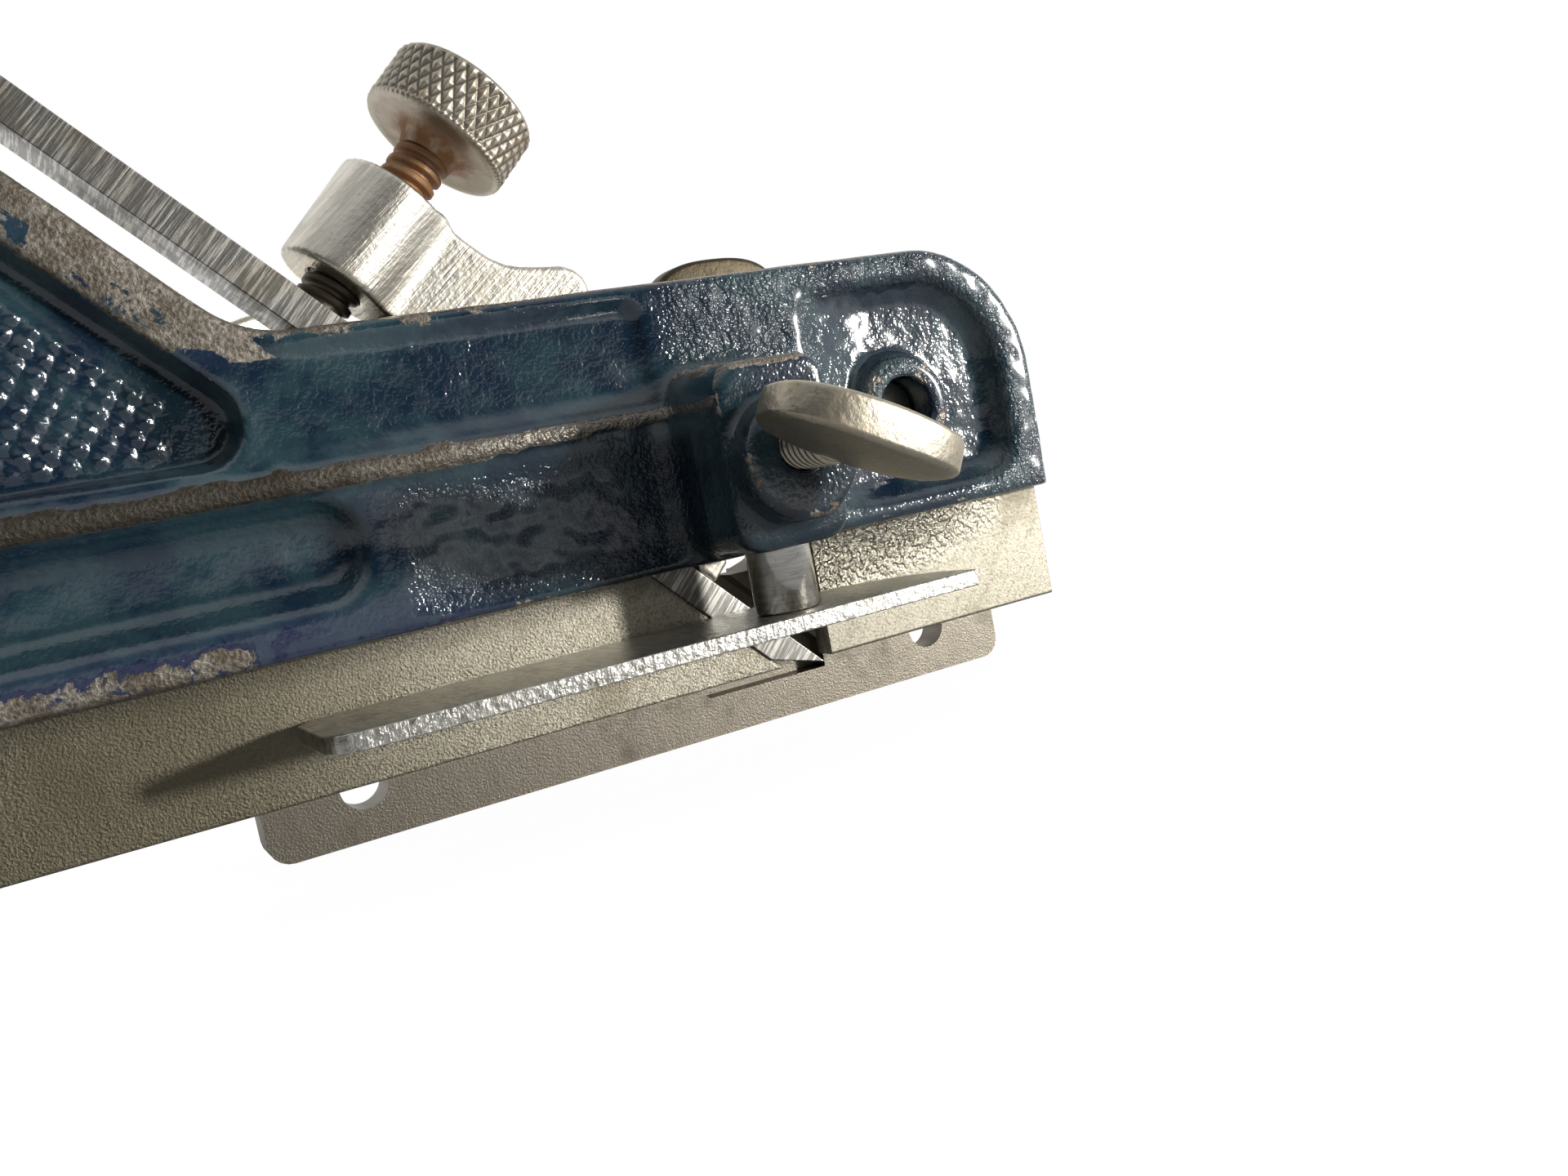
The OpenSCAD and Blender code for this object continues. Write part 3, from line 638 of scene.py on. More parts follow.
def castingWear(s, points, extra):
    # How likely each point is to be bare metal (bare) and how the metal looks there (shinier where uneven;
    # darker toward the heel end of the rib, partly dull metal and partly painted shade), the painted shade
    # that darkens the paint in recesses, walls, the corner under the rib and the block's front, and where the
    # enamel has a fresher blue (fresh)
    xs, zs, maps, nearShare, wideShare = extra
    x, y, z = points.T
    onRight = step(-y, 3.2, 3.9)
    convex = np.clip((0.42 - nearShare) / 0.28, 0, 1)
    panel, groove, toe = (-sampleMap(maps[name], xs, zs, x, z) for name in ("panel", "groove", "toe"))
    trough = step(panel, 0.0, 0.8) * step(-panel, -3.4, -2.6)
    wall = step(groove, -0.2, 0.9) * step(-groove, -3.8, -1.4)
    wall = wall * (0.45 + 0.4 * step(z, 19, 23) * step(x, -80, -55))
    toeWall = step(toe, 0.0, 0.8) * step(-toe, -3.0, -1.4) * step(x, 4, 12)
    underRib = step(s["ribZ"][0] - z, -0.5, 1.5) * step(x, -34, -16) * (x < s["blockX"][1]) * onRight
    blockFront = step(-y, 12, 15) * step(s["blockZ"][1] - 1.5 - z, 0, 1.5)
    # Painted shade: near-black paint and less gloss in deep hollows, the handle panel's trough and the
    # groove's walls, the toe recess's walls, the corner under the rib beside the block, and the block's front
    paintedShade = np.maximum.reduce([
        np.clip((wideShare - 0.5) / 0.35, 0, 1),
        0.85 * step(panel, 0.3, 1.5) * step(x, -62, -57),
        np.maximum(trough, wall) * onRight,
        0.6 * toeWall * onRight,
        0.7 * underRib * (y > -9),
        0.5 * blockFront])

    rib = sampleMap(maps["rib"], xs, zs, x, z) * (y < -4.3)
    bandC = (x + z - handleC) / root2
    onBand = step(-bandC, -0.5, 0.3) * step(bandC, -s["bandWidth"] - 0.1, -s["bandWidth"] + 0.5) * (z > 38)
    topEdge = step(z, s["high"] - 0.5, s["high"] - 0.1) * (x > -52)
    topRim = step(z, s["high"] - 2.4, s["high"] - 0.4) * (0.3 + 0.7 * step(-x, 10, 40))
    topRim = topRim * step(-x, -1, 5) * onRight
    toeRim = step(z, s["high"] - 2.2, s["high"] - 1.0) * step(x, 2, 6) * onRight
    toeEdge = step(x, toeX - 1.0, toeX - 0.2)
    lowEdge = step(s["low"] + 4.2 - z, 0, 2.6) * step(-x, 44, 58) * onRight
    blockTop = step(z, 29.4, 30.6) * (y < -5)
    bossRim = step(-y, 18.4, 19.1)
    onRing = step(-y, 3.9, 4.6) * step(-np.hypot(x - s["armX"][0], z - s["armZ"]), -6.6, -5.9)
    bare = np.maximum.reduce([
        0.62 * convex,
        1.05 * step(rib, 0.55, 0.95),
        onBand * (0.30 + 0.62 * step(bandC, -3.3, -2.1)),
        0.95 * topEdge,
        0.72 * topRim,
        0.46 * toeRim,
        0.6 * toeEdge,
        0.70 * lowEdge,
        0.68 * blockTop + 0.2 * convex,
        0.30 * bossRim + 0.34 * convex * bossRim,
        0.54 * onRing])
    # Partly dull metal, partly painted shade: the rib's bare metal is darkened toward the heel
    dullAndShaded = np.clip(rib * step(-x, 30, 54), 0, 1)
    fresh = np.maximum(step(s["low"] + 5.0 - z, 0, 3.0) * step(-x, 20, 50) * onRight, 0.35 * onBand)
    uneven = np.maximum(0.12 + 0.88 * sampleMap(maps["uneven"], xs, zs, x, z) * onRight, onRing)
    uneven = np.maximum(uneven, rib * step(x, -46, -20))
    return dict(bare=bare, paintedShade=paintedShade, fresh=fresh, uneven=uneven, dullAndShaded=dullAndShaded)


casting, castingPoints, castingExtra = makeCasting(castingSet)
paint(casting, **castingWear(castingSet, castingPoints, castingExtra))
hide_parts("body_casting")
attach(casting, "body")


# Skate, in two parts with the mouth between them
skateSet = {"half": 1.4, "fillet": 0.5, "top": 12.7, "mouth": 1.6, "round": 0.12, "step": 1.0}


def skatePart(s, name, startAt, stopAt):
    # The section (flat sides, a small fillet under the casting) is carried along X between two end lines
    side = [(s["half"] - s["round"], 0.0), (s["half"], s["round"])]
    side += [(s["half"], z) for z in (0.3, 2, 4, 6, 8, 10)]
    bend = arc(s["half"] + s["fillet"], s["top"] - s["fillet"], s["fillet"], 180, 90, 5)
    side = np.array(side + [tuple(p) for p in bend])
    loop = np.concatenate([side * (-1, 1), side[::-1]])
    y, z = loop[:, 0], loop[:, 1]
    start, stop = startAt(z), stopAt(z)
    rows = int(max((stop - start).max() / s["step"], 2)) + 1
    u = np.linspace(0, 1, rows)[:, None]
    u = np.concatenate([[[0.0]], u[:1] + 0.0015, u[1:-1], u[-1:] - 0.0015, [[1.0]]])
    x = start + (stop - start) * u
    grid = np.stack([x, np.broadcast_to(y, x.shape), np.broadcast_to(z, x.shape)], -1)
    return tubeMesh(name, grid, flip=True)


rearSkate = skatePart(skateSet, "rearSkate", lambda z: heelX + 0 * z, lambda z: bedC - z)
frontSkate = skatePart(skateSet, "frontSkate", lambda z: skateSet["mouth"] + 0 * z, lambda z: toeX + 0 * z)
for part in (rearSkate, frontSkate):
    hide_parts("body_casting")
    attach(part, "body")
print("casting and skate")


# Copies of the flat-sided CAD pieces with their edges eased
def easedCopy(node, name, width):
    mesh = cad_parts[node].data.copy()
    mesh.name = name
    piece = addObject(name, mesh)
    mesh.materials.clear()
    work = bmesh.new()
    work.from_mesh(mesh)
    bmesh.ops.remove_doubles(work, verts=work.verts, dist=1e-6)
    bmesh.ops.dissolve_limit(work, angle_limit=math.radians(1.0), verts=work.verts, edges=work.edges)
    work.to_mesh(mesh)
    work.free()
    bevel = piece.modifiers.new("eased", "BEVEL")
    bevel.width = width * mm
    bevel.segments = 2
    bevel.limit_method = "ANGLE"
    bevel.angle_limit = math.radians(28)
    bevel.use_clamp_overlap = True
    bevel.miter_outer = "MITER_ARC"
    mesh.polygons.foreach_set("use_smooth", np.ones(len(mesh.polygons), bool))
    normals = piece.modifiers.new("normals", "WEIGHTED_NORMAL")
    normals.keep_sharp = True
    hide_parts(node)
    return piece


iron = easedCopy("plane_iron", "cuttingIron", 0.12)
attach(iron, "iron")
fence = easedCopy("fence", "fencePlate", 0.3)
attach(fence, "fence")
foot = easedCopy("depth_stop_foot", "stopFoot", 0.16)
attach(foot, "depth_stop")


# Lever cap
leverSet = {"cell": 0.27, "bossS": 60.0, "bossR": 5.4, "bossT": (2.6, 13.1), "join": 1.3, "edge": 0.35,
            "web": (-1.7, 4.65), "bore": 2.65, "pin": (41.0, 11.2), "pinBore": 1.65}


def makeLever(s):
    # A flat web between two faces, joined smoothly to a round boss that stands square on the iron
    boss0, boss1 = s["bossT"]
    line = [(14.5, 0.02), (16.5, 0.02), (18, 1.2), (s["bossS"] - 8, boss0), (s["bossS"] - 3.9, boss0),
            (s["bossS"] - 3.9, boss1), (55.9, 13.0), (54.6, 12.85), (53.2, 12.8), (50.6, 12.9), (48.9, 13.4),
            (47.6, 14.2), (46.0, 15.5), (44.5, 16.8), (43.4, 17.2), (42.3, 17.2), (41.2, 16.6), (40.6, 15.9),
            (33.4, 9.2), (20, 4.6), (14.5, 2.6)]
    outline = np.array([onIron(a, b)[[0, 2]] for a, b in line])
    far = s["bossS"] + s["bossR"] + 1.2
    xs = np.arange(onIron(far, boss0 - 1)[0], outline[:, 0].max() + 1.2, s["cell"])
    zs = np.arange(outline[:, 1].min() - 1.2, onIron(far, boss1 + 1)[2], s["cell"])
    ys = np.arange(ironMidY - s["bossR"] - 1.3, ironMidY + s["bossR"] + 1.4, s["cell"])
    x2, z2 = xs[:, None], zs[None, :]
    x3, y3, z3 = xs[:, None, None], ys[None, :, None], zs[None, None, :]
    flat = outlineDistance(outline, x2, z2)[:, None, :]
    face = np.maximum(s["web"][0] - y3, y3 - s["web"][1])
    web = smoothMax(flat, face, s["edge"])
    up = (z3 - x3) / root2
    out = (x3 + z3 - frontC) / root2
    radius = np.hypot(up - s["bossS"], y3 - ironMidY)
    boss = smoothMax(radius - s["bossR"], np.maximum(boss0 - out, out - boss1), 0.45)
    field = smoothMin(web, boss, s["join"])
    field = np.maximum(field, boss0 - out - 10 * step(s["bossS"] - 6.5 - up, 0, 1))
    field = np.maximum(field, -(radius - s["bore"]))
    field = np.maximum(field, 0.02 - out)
    pin = onIron(*s["pin"])
    field = np.maximum(field, -(np.hypot(x3 - pin[0], z3 - pin[2]) - s["pinBore"]))
    points, quads, _ = surfaceNet(field.astype(np.float32), xs, ys, zs)
    print("lever cap:", len(quads) * 2, "triangles")
    return makeMesh("leverCap", points, quads)


lever = makeLever(leverSet)
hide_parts("lever_cap")
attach(lever, "lever")


# Screws and round parts
threadSet = {"capPitch": 1.27, "capR": 2.6, "capDepth": 0.5, "stopPitch": 0.9, "stopR": 2.35,
             "stopDepth": 0.35, "rowsPerTurn": 14}


def threadProfile(phase):  # flat-topped ridge and rounded root, from 0 at the root to 1 at the crest
    wave = 0.5 + 0.5 * np.cos(2 * np.pi * phase)
    return step(wave, 0.12, 0.72)


def threaded(name, base, axis, radius, length, pitch, depth, around):
    rows = int(length / pitch * threadSet["rowsPerTurn"])
    height = np.linspace(0, length, rows)
    profile = np.stack([np.full(rows, radius), height], 1)

    def cut(r, h, angle):
        fade = step(h, 0, pitch * 0.8) * step(length - h, 0, pitch * 0.3)
        worn = threadProfile(h / pitch - angle / (2 * np.pi))
        return r - depth * (1 - worn * fade)

    return turned(name, base, axis, profile, around, cut)


ironAxis = np.array((1, 0, 1)) / root2
knobT = 19.3  # the knob's underside, in front of the iron's face
capShank = threaded("capScrewShank", onIron(leverSet["bossS"], 0.05), ironAxis, threadSet["capR"],
                    knobT - 0.1, threadSet["capPitch"], threadSet["capDepth"], 72)
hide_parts("lever_cap_screw")
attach(capShank, "cap_screw")

knobSet = {"r": 7.15, "h": 6.2, "depth": 0.3, "neckR": 3.9, "neckH": 1.5, "count": 36}


def makeKnob(s):
    # A lathe shape whose side is cut by two sets of V grooves that cross at 60 degrees
    neck = [(r, -s["neckH"] * share) for r, share in ((2.3, 1), (2.62, 0.95), (2.8, 0.6), (3.2, 0.25))]
    neck += [(s["neckR"], 0.0), (s["neckR"] + 0.8, 0.08)]
    under = [(s["r"] - 1.2, 0.04), (s["r"] - 0.7, 0.0), (s["r"] - 0.3, 0.12)]
    side = [(s["r"], h) for h in np.linspace(0.45, s["h"] - 0.5, 44)]
    top = [(s["r"] - 0.35, s["h"] - 0.15), (s["r"] - 0.8, s["h"]), (4.0, s["h"]), (1.0, s["h"])]
    lean = math.tan(math.radians(30)) / s["r"]

    def knurl(r, h, angle):
        phases = [s["count"] * (angle + slant * h) / (2 * np.pi) for slant in (lean, -lean)]
        groove = np.maximum(*(np.abs(2 * np.mod(phase, 1) - 1) for phase in phases)) ** 1.6
        share = step(r, s["r"] - 0.2, s["r"]) * step(h, 0.2, 0.7) * step(s["h"] - h, 0.25, 0.8)
        return r - s["depth"] * groove * share

    profile = neck + under + side + top
    return turned("capKnob", onIron(leverSet["bossS"], knobT), ironAxis, profile, 540, knurl)


knob = makeKnob(knobSet)
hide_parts("lever_cap_knob")
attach(knob, "cap_knob")

pinBase = onIron(*leverSet["pin"])
pin = turned("leverPin", (pinBase[0], -3.18, pinBase[2]), (0, 1, 0),
             [(1.4, 0), (1.6, 0.2), (1.6, 9.5), (1.4, 9.78)], 48)
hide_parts("lever_cap_pin")
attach(pin, "body")

headSet = {"long": 9.25, "wide": 5.5, "thick": 4.0, "power": 2.6, "round": 0.55}


def ovalHead(s):
    # Disc whose outline is a superellipse: each outline point is carried in to the middle over both faces
    angle = np.linspace(0, 2 * np.pi, 128, endpoint=False)
    c, q = np.cos(angle), np.sin(angle)
    a = s["long"] * np.sign(c) * np.abs(c) ** (2 / s["power"])
    b = s["wide"] * np.sign(q) * np.abs(q) ** (2 / s["power"])
    bend = np.radians(np.linspace(0, 90, 7))
    edge = 1 - s["round"] / s["wide"] * (1 - np.sin(bend))
    reach = np.concatenate([[0.02, 0.3, 0.55, 0.75], edge])
    drop = np.concatenate([np.zeros(4), 1 - np.cos(bend[::-1])[::-1]])
    rows = []
    half = s["thick"] / 2
    for side in (1, -1):
        for share, fall in list(zip(reach, drop))[::side]:
            crown = half * (1 - 0.22 * share ** 2 * (0.4 + 0.6 * np.abs(c)))
            rows.append(np.stack([a * share, b * share, side * (crown - s["round"] * fall * 0.9)], -1))
    return np.array(rows)


def thumbScrew(name, node, body, tip, axis, longWay, shank):
    # The threaded shank stands on tip along the axis, and the oval head's width runs along the same axis
    longWay, axis = unit(longWay), np.array(axis, float)
    head = ovalHead(headSet)
    centre = np.array(tip) + axis * (shank + headSet["wide"])
    grid = centre + head[..., :1] * longWay + head[..., 1:2] * axis + head[..., 2:] * np.cross(longWay, axis)
    plate = tubeMesh(name, grid, flip=True)
    rod = threaded(name + "Thread", tip, axis, threadSet["stopR"], shank + 1.2, threadSet["stopPitch"],
                   threadSet["stopDepth"], 48)
    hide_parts(node)
    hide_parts(node)
    for part in (plate, rod):
        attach(part, body)
        # Painted shade: the front fence screw's parts get the dark tarnish colour
        paint(part, tarnish=np.full(len(part.data.vertices), 1.0 if body == "front_screw" else 0.0))
    return plate, rod


stopScrewSet = {"inside": 3.195, "lean": math.radians(-27), "shank": 10.1}
fenceScrewSet = {"y": 34.37, "above": 3.2, "shank": 9.0, "turn": {"front": 4, "rear": 23}}
armSet = {"r": 3.17, "near": {"front": -1.0, "rear": -1.58}, "far": {"front": 100.0, "rear": 99.42}}
sides = tuple(zip(("front", "rear"), castingSet["armX"]))

stopTip = (castingSet["stopX"], castingSet["stopY"] - stopScrewSet["inside"], castingSet["screwZ"])
stopHead, stopRod = thumbScrew("stopScrewHead", "depth_stop_screw", "depth_screw", stopTip, (0, -1, 0),
                               (math.cos(stopScrewSet["lean"]), 0, math.sin(stopScrewSet["lean"])),
                               stopScrewSet["shank"])
fenceScrews = []
for side, x in sides:
    tip = (x, fenceScrewSet["y"], castingSet["armZ"] + fenceScrewSet["above"])
    a = math.radians(fenceScrewSet["turn"][side])
    fenceScrews += thumbScrew(side + "ScrewHead", side + "_fence_screw", side + "_screw", tip, (0, 0, 1),
                              (math.cos(a), math.sin(a), 0), fenceScrewSet["shank"])

arms = []
for side, x in sides:
    r, near, far = armSet["r"], armSet["near"][side], armSet["far"][side]
    arm = turned(side + "Arm", (x, 0, castingSet["armZ"]), (0, 1, 0),
                 [(r - 0.35, near), (r, near + 0.35), (r, far / 2), (r, far - 0.8), (r - 0.8, far)], 64)
    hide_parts(side + "_fence_arm")
    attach(arm, "body")
    arms.append(arm)

post = turned("stopPost", (castingSet["stopX"], castingSet["stopY"], 0), (0, 0, 1),
              [(1.55, 5.42), (1.58, 5.5), (1.58, 7.0), (2.95, 7.02), (3.17, 7.25), (3.17, 18), (3.17, 29.5),
               (2.7, 29.98)], 72)
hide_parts("depth_stop_post")
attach(post, "depth_stop")
print("screws, arms and post")


# Shader groups shared by the materials
def newGroup(name, inputs, output):
    group = bpy.data.node_groups.new(name, "ShaderNodeTree")
    for label, kind, value in inputs:
        socket = group.interface.new_socket(label, in_out="INPUT", socket_type="NodeSocket" + kind)
        if value is not None:
            socket.default_value = value
    group.interface.new_socket(output, in_out="OUTPUT", socket_type="NodeSocketFloat")
    t = treeTools(group)
    return group, t, t.add("NodeGroupInput").outputs


def makeBlotches():  # soft-edged patches: fractal noise of a given size in mm, cut between two levels
    group, t, given = newGroup("blotches", [
        ("Vector", "Vector", None), ("Size", "Float", 3.0), ("Low", "Float", 0.45), ("High", "Float", 0.6),
        ("Detail", "Float", 5.0)], "Mask")
    scale = t.maths("DIVIDE", 1000.0, given["Size"])
    noise = t.noise(given["Vector"], scale, given["Detail"], 0.62)
    t.add("NodeGroupOutput", {"Mask": t.spread(noise, (given["Low"], given["High"]))})
    return group


def makeGrit():  # pitted, grainy height: rounded cells and noise of a given size in mm
    group, t, given = newGroup("grit", [("Vector", "Vector", None), ("Size", "Float", 0.3)], "Height")
    scale = t.maths("DIVIDE", 1000.0, given["Size"])
    noise = t.noise(given["Vector"], scale, 3.0, 0.7)
    cells = t.add("TexVoronoi", {"Vector": given["Vector"], "Scale": t.times(scale, 0.7)})
    both = t.plus(t.times(noise, 0.65), t.times(cells.outputs["Distance"], 0.35))
    t.add("NodeGroupOutput", {"Height": both})
    return group


def makeBrushed():  # noise drawn out along one direction, as fine grinding lines are
    group, t, given = newGroup("brushed", [
        ("Vector", "Vector", None), ("Rotation", "Vector", (0, 0, 0)), ("Scale", "Vector", (1, 1, 1))],
        "Lines")
    spun = t.add("VectorRotate", {"Vector": given["Vector"], "Rotation": given["Rotation"]},
                 rotation_type="EULER_XYZ")
    drawn = t.add("VectorMath", {0: spun.outputs[0], 1: given["Scale"]}, operation="MULTIPLY")
    t.add("NodeGroupOutput", {"Lines": t.noise(drawn.outputs[0], 1.0, 3.0, 0.65)})
    return group


blotches, grit, brushed = makeBlotches(), makeGrit(), makeBrushed()


def patchy(t, where, size, low, high, detail):
    return t.group(blotches, {"Vector": where, "Size": size, "Low": low, "High": high, "Detail": detail})


def painted(t, *names):
    return [t.add("Attribute", attribute_name=name).outputs["Fac"] for name in names]


def addSurface(t, inputs, height, distance):  # Principled surface with a bump of so many mm
    bump = t.add("Bump", {"Height": height, "Distance": distance * mm, "Strength": 1.0})
    shader = t.add("BsdfPrincipled", {**inputs, "Normal": bump.outputs[0]})
    t.add("OutputMaterial", {"Surface": shader.outputs[0]})


# Enamel on cast iron. Patches are given as their size in mm, the two levels of their edge, and detail.
enamelSet = {
    "deep": (0.006, 0.018, 0.037),
    "teal": (0.023, 0.053, 0.066),
    "dust": (0.13, 0.15, 0.14),
    "fresh": (0.007, 0.011, 0.055),
    "violet": (0.034, 0.045, 0.092),
    "bareDark": (0.10, 0.085, 0.065),
    "bareLight": (0.27, 0.245, 0.21),
    "bareBrown": (0.07, 0.05, 0.03),
    # The next colour darkens the rib's bare metal toward the heel: partly dull metal, partly painted shade
    "bareDullAndShaded": (0.030, 0.026, 0.019),
    "barePolished": (0.36, 0.33, 0.29),
    # The next colour is painted shade: a near-black blue laid into recesses and sheltered corners
    "paintedShade": (0.001, 0.004, 0.009),
    "share": dict(dust=0.09, paintedShade=0.92, fresh=0.85, violet=0.55, brown=0.75, polished=0.45, dullAndShaded=0.85),
    "tonePatch": (8.0, 0.40, 0.62, 4.0),
    "dustPatch": (2.2, 0.46, 0.84, 8.0),
    "brownPatch": (5.0, 0.46, 0.64, 6.0),
    "lumpPatch": (1.3, 0.2, 0.8, 1.0),
    "dimplePatch": (0.5, 0.2, 0.8, 1.0),
    "chipSize": 2.6,
    "chipCut": (0.60, 0.66),
    "rimCut": (0.42, 0.50),
    "grain": 0.34,
    "rough": (0.13, 0.26),
    "unevenRough": 0.24,
    "bareRough": 0.60,
    "bareShine": -0.27,
    "metallic": 0.75,
    "coatRough": 0.13,
    "coatIor": 1.48,
    "specular": 0.45,
    "bump": 0.24,  # mm
}


def enamelMaterial(s):
    material, t = newMaterial("chippedEnamel")
    share = s["share"]
    where = t.add("TexCoord").outputs["Object"]
    bare, paintedShade, fresh, uneven, dullAndShaded = painted(t, "bare", "paintedShade", "fresh", "uneven", "dullAndShaded")
    edge = t.noise(where, 1000 / s["chipSize"], 9.0, 0.68, 0.3)
    level = t.plus(bare, t.times(t.maths("SUBTRACT", edge, 0.5), 1.5))
    chipped = t.spread(level, s["chipCut"])
    rim = t.times(t.spread(level, s["rimCut"]), t.spread(fresh, (0.25, 0.6)))

    colour = t.mix(patchy(t, where, *s["tonePatch"]), s["deep"], s["teal"])
    dust = patchy(t, where, *s["dustPatch"])
    colour = t.mix(t.times(dust, share["dust"]), colour, s["dust"])
    # Painted shade: the paint turns near-black where the wear map marks shade
    colour = t.mix(t.times(paintedShade, share["paintedShade"]), colour, s["paintedShade"])
    colour = t.mix(t.times(rim, share["fresh"]), colour, s["fresh"])
    colour = t.mix(t.times(fresh, t.scaled(rim, -share["violet"], share["violet"])), colour, s["violet"])
    grain = t.group(grit, {"Vector": where, "Size": s["grain"]})
    metal = t.mix(t.spread(grain, (0.30, 0.70)), s["bareDark"], s["bareLight"])
    metal = t.mix(t.times(patchy(t, where, *s["brownPatch"]), share["brown"]), metal, s["bareBrown"])
    metal = t.mix(t.times(uneven, share["polished"]), metal, s["barePolished"])
    # Partly painted shade: bare metal darkened toward the heel end of the rib
    metal = t.mix(t.times(dullAndShaded, share["dullAndShaded"]), metal, s["bareDullAndShaded"])
    colour = t.mix(chipped, colour, metal)

    low, high = s["rough"]
    rough = t.larger(t.scaled(dust, high - low, low), t.times(uneven, s["unevenRough"]))
    bareRough = t.scaled(uneven, s["bareShine"], s["bareRough"])
    rough = t.add("Mix", {0: chipped, 2: rough, 3: bareRough}).outputs[0]
    lumps = t.times(patchy(t, where, *s["lumpPatch"]), 0.30)
    lumps = t.plus(lumps, t.times(patchy(t, where, *s["dimplePatch"]), 0.65))
    height = t.times(lumps, t.scaled(uneven, 0.9, 0.1))
    height = t.maths("SUBTRACT", height, t.times(chipped, 0.5))
    height = t.plus(height, t.times(t.times(grain, chipped), 0.8))
    # The painted shade also takes the gloss away
    coat = t.times(t.maths("SUBTRACT", 1.0, chipped), t.scaled(paintedShade, -0.95, 1.0))
    addSurface(t, {"Base Color": colour, "Roughness": rough, "Metallic": t.times(chipped, s["metallic"]),
                   "Coat Weight": coat, "Coat Roughness": s["coatRough"], "Coat IOR": s["coatIor"],
                   "Specular IOR Level": s["specular"]}, height, s["bump"])
    return material


# Metals: a clean colour, a stain in patches, dark specks, grit, grinding lines, and, where they are painted,
# a darkening that is partly dirt and partly painted shade, a tarnish that is partly painted shade, rust and
# coarse skin. Each metal gives only what differs from the plain one.
plainMetal = dict(
    clean=(0.62, 0.58, 0.50), stain=(0.30, 0.26, 0.19), stainSize=6.0, stainCut=(0.48, 0.76),
    speck=(0.20, 0.17, 0.13), speckSize=0.5, speckCut=(0.60, 0.80), speckShare=0.5,
    # the tarnish colour is a dark brown laid where painted: partly real tarnish, partly painted shade
    rust=(0.27, 0.13, 0.055), tarnish=(0.12, 0.105, 0.068), rough=0.40, grit=0.24, gritShare=0.6,
    coarseSize=1.1, lineTurn=0, lineScale=(500, 500, 500), lineCut=(0.30, 0.70), lineDark=0.85,
    lineShare=0.3, bump=0.04)  # lineTurn in degrees about Y, bump in mm
metalSets = {
    "skateNickel": dict(
        clean=(0.50, 0.466, 0.376), stain=(0.34, 0.30, 0.215), stainSize=11.0, rough=0.35, speckSize=0.26,
        speckCut=(0.45, 0.70), speckShare=0.6, grit=0.19, gritShare=1.0, coarseSize=0.62, lineTurn=-38,
        lineScale=(2800, 300, 120), lineShare=0.08, bump=0.18),
    "ironSteel": dict(
        clean=(0.60, 0.58, 0.54), stain=(0.28, 0.25, 0.20), stainCut=(0.40, 0.70), rough=0.36, gritShare=0.2,
        lineTurn=45, lineScale=(160, 160, 3300), lineCut=(0.46, 0.60), lineDark=0.42, lineShare=1.0),
    "fenceSteel": dict(
        clean=(0.22, 0.196, 0.16), stain=(0.13, 0.112, 0.088), rough=0.44, speckSize=0.4, grit=0.17,
        gritShare=1.0, lineTurn=8, lineScale=(900, 200, 120), lineDark=0.92, lineShare=0.0, bump=0.05),
    "brightNickel": dict(
        clean=(0.66, 0.64, 0.59), stain=(0.40, 0.37, 0.30), stainSize=5.0, rough=0.30, speckSize=0.9,
        speckCut=(0.54, 0.66), grit=0.55, gritShare=1.0, lineScale=(2200, 120, 90), lineDark=0.75, bump=0.14),
    "postSteel": dict(
        clean=(0.70, 0.68, 0.64), rough=0.15, lineScale=(300, 300, 3200), lineDark=0.7, bump=0.015),
    "capNickel": dict(
        clean=(0.74, 0.70, 0.615), stain=(0.42, 0.37, 0.25), stainSize=7.0, rough=0.32, grit=0.40,
        gritShare=0.55, lineTurn=38, lineScale=(160, 300, 2600), lineDark=0.72, lineShare=0.8, bump=0.08),
    "knobNickel": dict(
        clean=(0.50, 0.45, 0.365), stain=(0.38, 0.29, 0.19), stainSize=4.5, rough=0.38,
        speckCut=(0.56, 0.76)),
    "screwNickel": dict(
        clean=(0.48, 0.435, 0.35), stain=(0.36, 0.30, 0.20), stainSize=4.0, rough=0.36, grit=0.5,
        # the tarnish colour here is the dark brown painted onto the front fence screw as shade
        gritShare=1.0, speckCut=(0.54, 0.74), bump=0.06, tarnish=(0.062, 0.051, 0.034)),
    "rustyThread": dict(clean=(0.34, 0.27, 0.18), stain=(0.22, 0.16, 0.10), rough=0.42, gritShare=1.0),
    "armSteel": dict(lineScale=(300, 3000, 300), rough=0.34, bump=0.02),
}


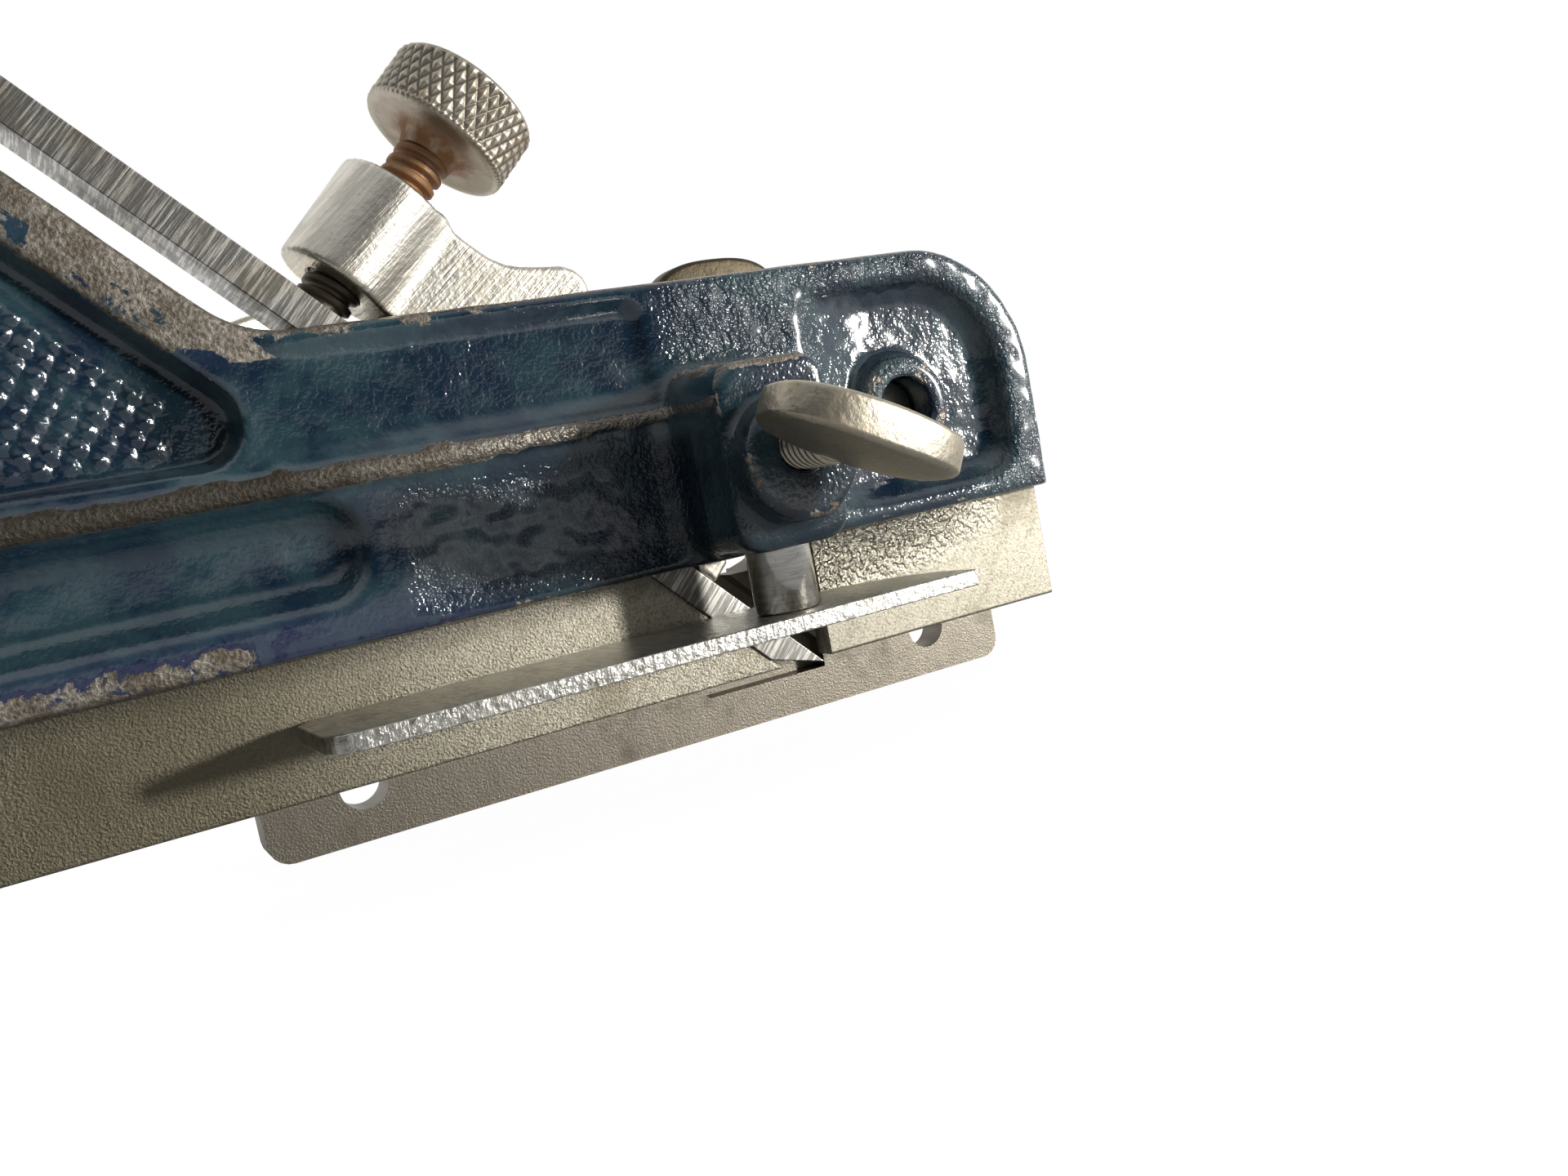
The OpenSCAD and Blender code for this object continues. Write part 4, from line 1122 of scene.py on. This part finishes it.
def metalMaterial(name, own):
    s = {**plainMetal, **own}
    material, t = newMaterial(name)
    where = t.add("TexCoord").outputs["Object"]
    dirt, rust, coarse, tarnish, ground = painted(t, "dirt", "rust", "coarse", "tarnish", "ground")
    stain = patchy(t, where, s["stainSize"], *s["stainCut"], 6.0)
    specks = patchy(t, where, s["speckSize"], *s["speckCut"], 2.0)
    grain = t.group(grit, {"Vector": where, "Size": s["grit"]})
    lines = t.group(brushed, {"Vector": where, "Rotation": (0, math.radians(s["lineTurn"]), 0),
                              "Scale": s["lineScale"]})
    colour = t.mix(t.times(stain, 0.8), s["clean"], s["stain"])
    colour = t.mix(t.times(specks, s["speckShare"]), colour, s["speck"])
    shade = t.spread(lines, s["lineCut"], s["lineDark"], 1.0)
    shade = t.add("CombineXYZ", {0: shade, 1: shade, 2: shade}).outputs[0]
    colour = t.mix(1.0, colour, shade, "MULTIPLY")
    colour = t.mix(t.times(ground, 0.3), colour, (0, 0, 0))
    # Partly painted shade: the tarnish colour laid where it is painted
    colour = t.mix(tarnish, colour, s["tarnish"])
    patches = t.scaled(patchy(t, where, 1.6, 0.30, 0.62, 6.0), 0.6, 0.4)
    rusty = t.add("Math", {0: rust, 1: patches}, operation="MULTIPLY", use_clamp=True).outputs[0]
    colour = t.mix(rusty, colour, s["rust"])
    # Partly painted shade: a near-black darkening where it is painted
    colour = t.mix(dirt, colour, tuple(v * 0.12 for v in s["speck"]))
    rough = s["rough"]
    for layer, more in ((stain, 0.14), (rusty, 0.2), (tarnish, 0.10), (coarse, -0.10), (ground, 0.14)):
        rough = t.scaled(layer, more, rough)
    skin = patchy(t, where, s["coarseSize"], 0.35, 0.65, 1.0)
    grain = t.times(grain, t.scaled(ground, -0.85, 1.0))
    height = t.plus(t.times(grain, s["gritShare"]), t.times(lines, s["lineShare"]))
    height = t.plus(height, t.times(t.times(skin, coarse), 1.2))
    covered = t.larger(t.times(dirt, 0.6), t.times(rusty, 0.6))
    addSurface(t, {"Base Color": colour, "Roughness": rough, "Metallic": t.maths("SUBTRACT", 1.0, covered)},
               height, s["bump"])
    return material


def pointsOf(piece):  # a piece's points in mm from the cutting edge
    points = np.empty(len(piece.data.vertices) * 3, np.float32)
    piece.data.vertices.foreach_get("co", points)
    return points.reshape(-1, 3) / mm - (edgeX, 0, 0)


for part in (rearSkate, frontSkate):
    x, _, z = pointsOf(part).T
    hammered = step(z - 0.15 * np.maximum(x - 2, 0), 4.5, 8.5) * step(-x, -30, -16)
    # Painted shade: the skate darkens toward the heel with the tarnish colour (partly real tarnish) and along
    # its top under the casting's overhang
    paint(part, coarse=hammered * (x > 0), ground=(1 - hammered) * (x > 0), tarnish=step(-x, 22, 62) * 0.9,
          dirt=0.55 * step(z, 9.8, 12.6) * step(-x, -24, -8))
height = (pointsOf(capShank) - onIron(leverSet["bossS"], 0)) @ ironAxis
# Rust on the thread above the boss, and painted shade darkening the shank below it, where the boss overhangs
paint(capShank, rust=step(height, 12, 13.5), dirt=0.75 * step(-height, -13.4, -12.0))
fromTip = pointsOf(knob) - onIron(leverSet["bossS"], 0)
height = fromTip @ ironAxis
radius = np.linalg.norm(fromTip - height[:, None] * ironAxis, axis=1)
# Rust on the knob's underside, and the knurl's groove bottoms darkened
paint(knob, rust=1.1 * step(-height, -knobT - 0.15, -knobT + 0.1) * step(-radius, -6.6, -4.2),
      dirt=0.7 * step(height, knobT + 0.25, knobT + 0.6)
      * step(-radius, -knobSet["r"] + 0.1, -knobSet["r"] + 0.28) * (radius > 6.5))

casting.data.materials.append(enamelMaterial(enamelSet))
metals = {name: metalMaterial(name, s) for name, s in metalSets.items()}
dressed = {
    "skateNickel": [rearSkate, frontSkate],
    "ironSteel": [iron],
    "fenceSteel": [fence],
    "brightNickel": [foot],
    "postSteel": [post],
    "capNickel": [lever],
    "knobNickel": [knob],
    "screwNickel": [stopHead, stopRod, *fenceScrews],
    "rustyThread": [capShank],
    "armSteel": [*arms, pin],
}
for name, pieces in dressed.items():
    for piece in pieces:
        piece.data.materials.clear()
        piece.data.materials.append(metals[name])
print("materials")

scene.view_settings.view_transform = "Standard"
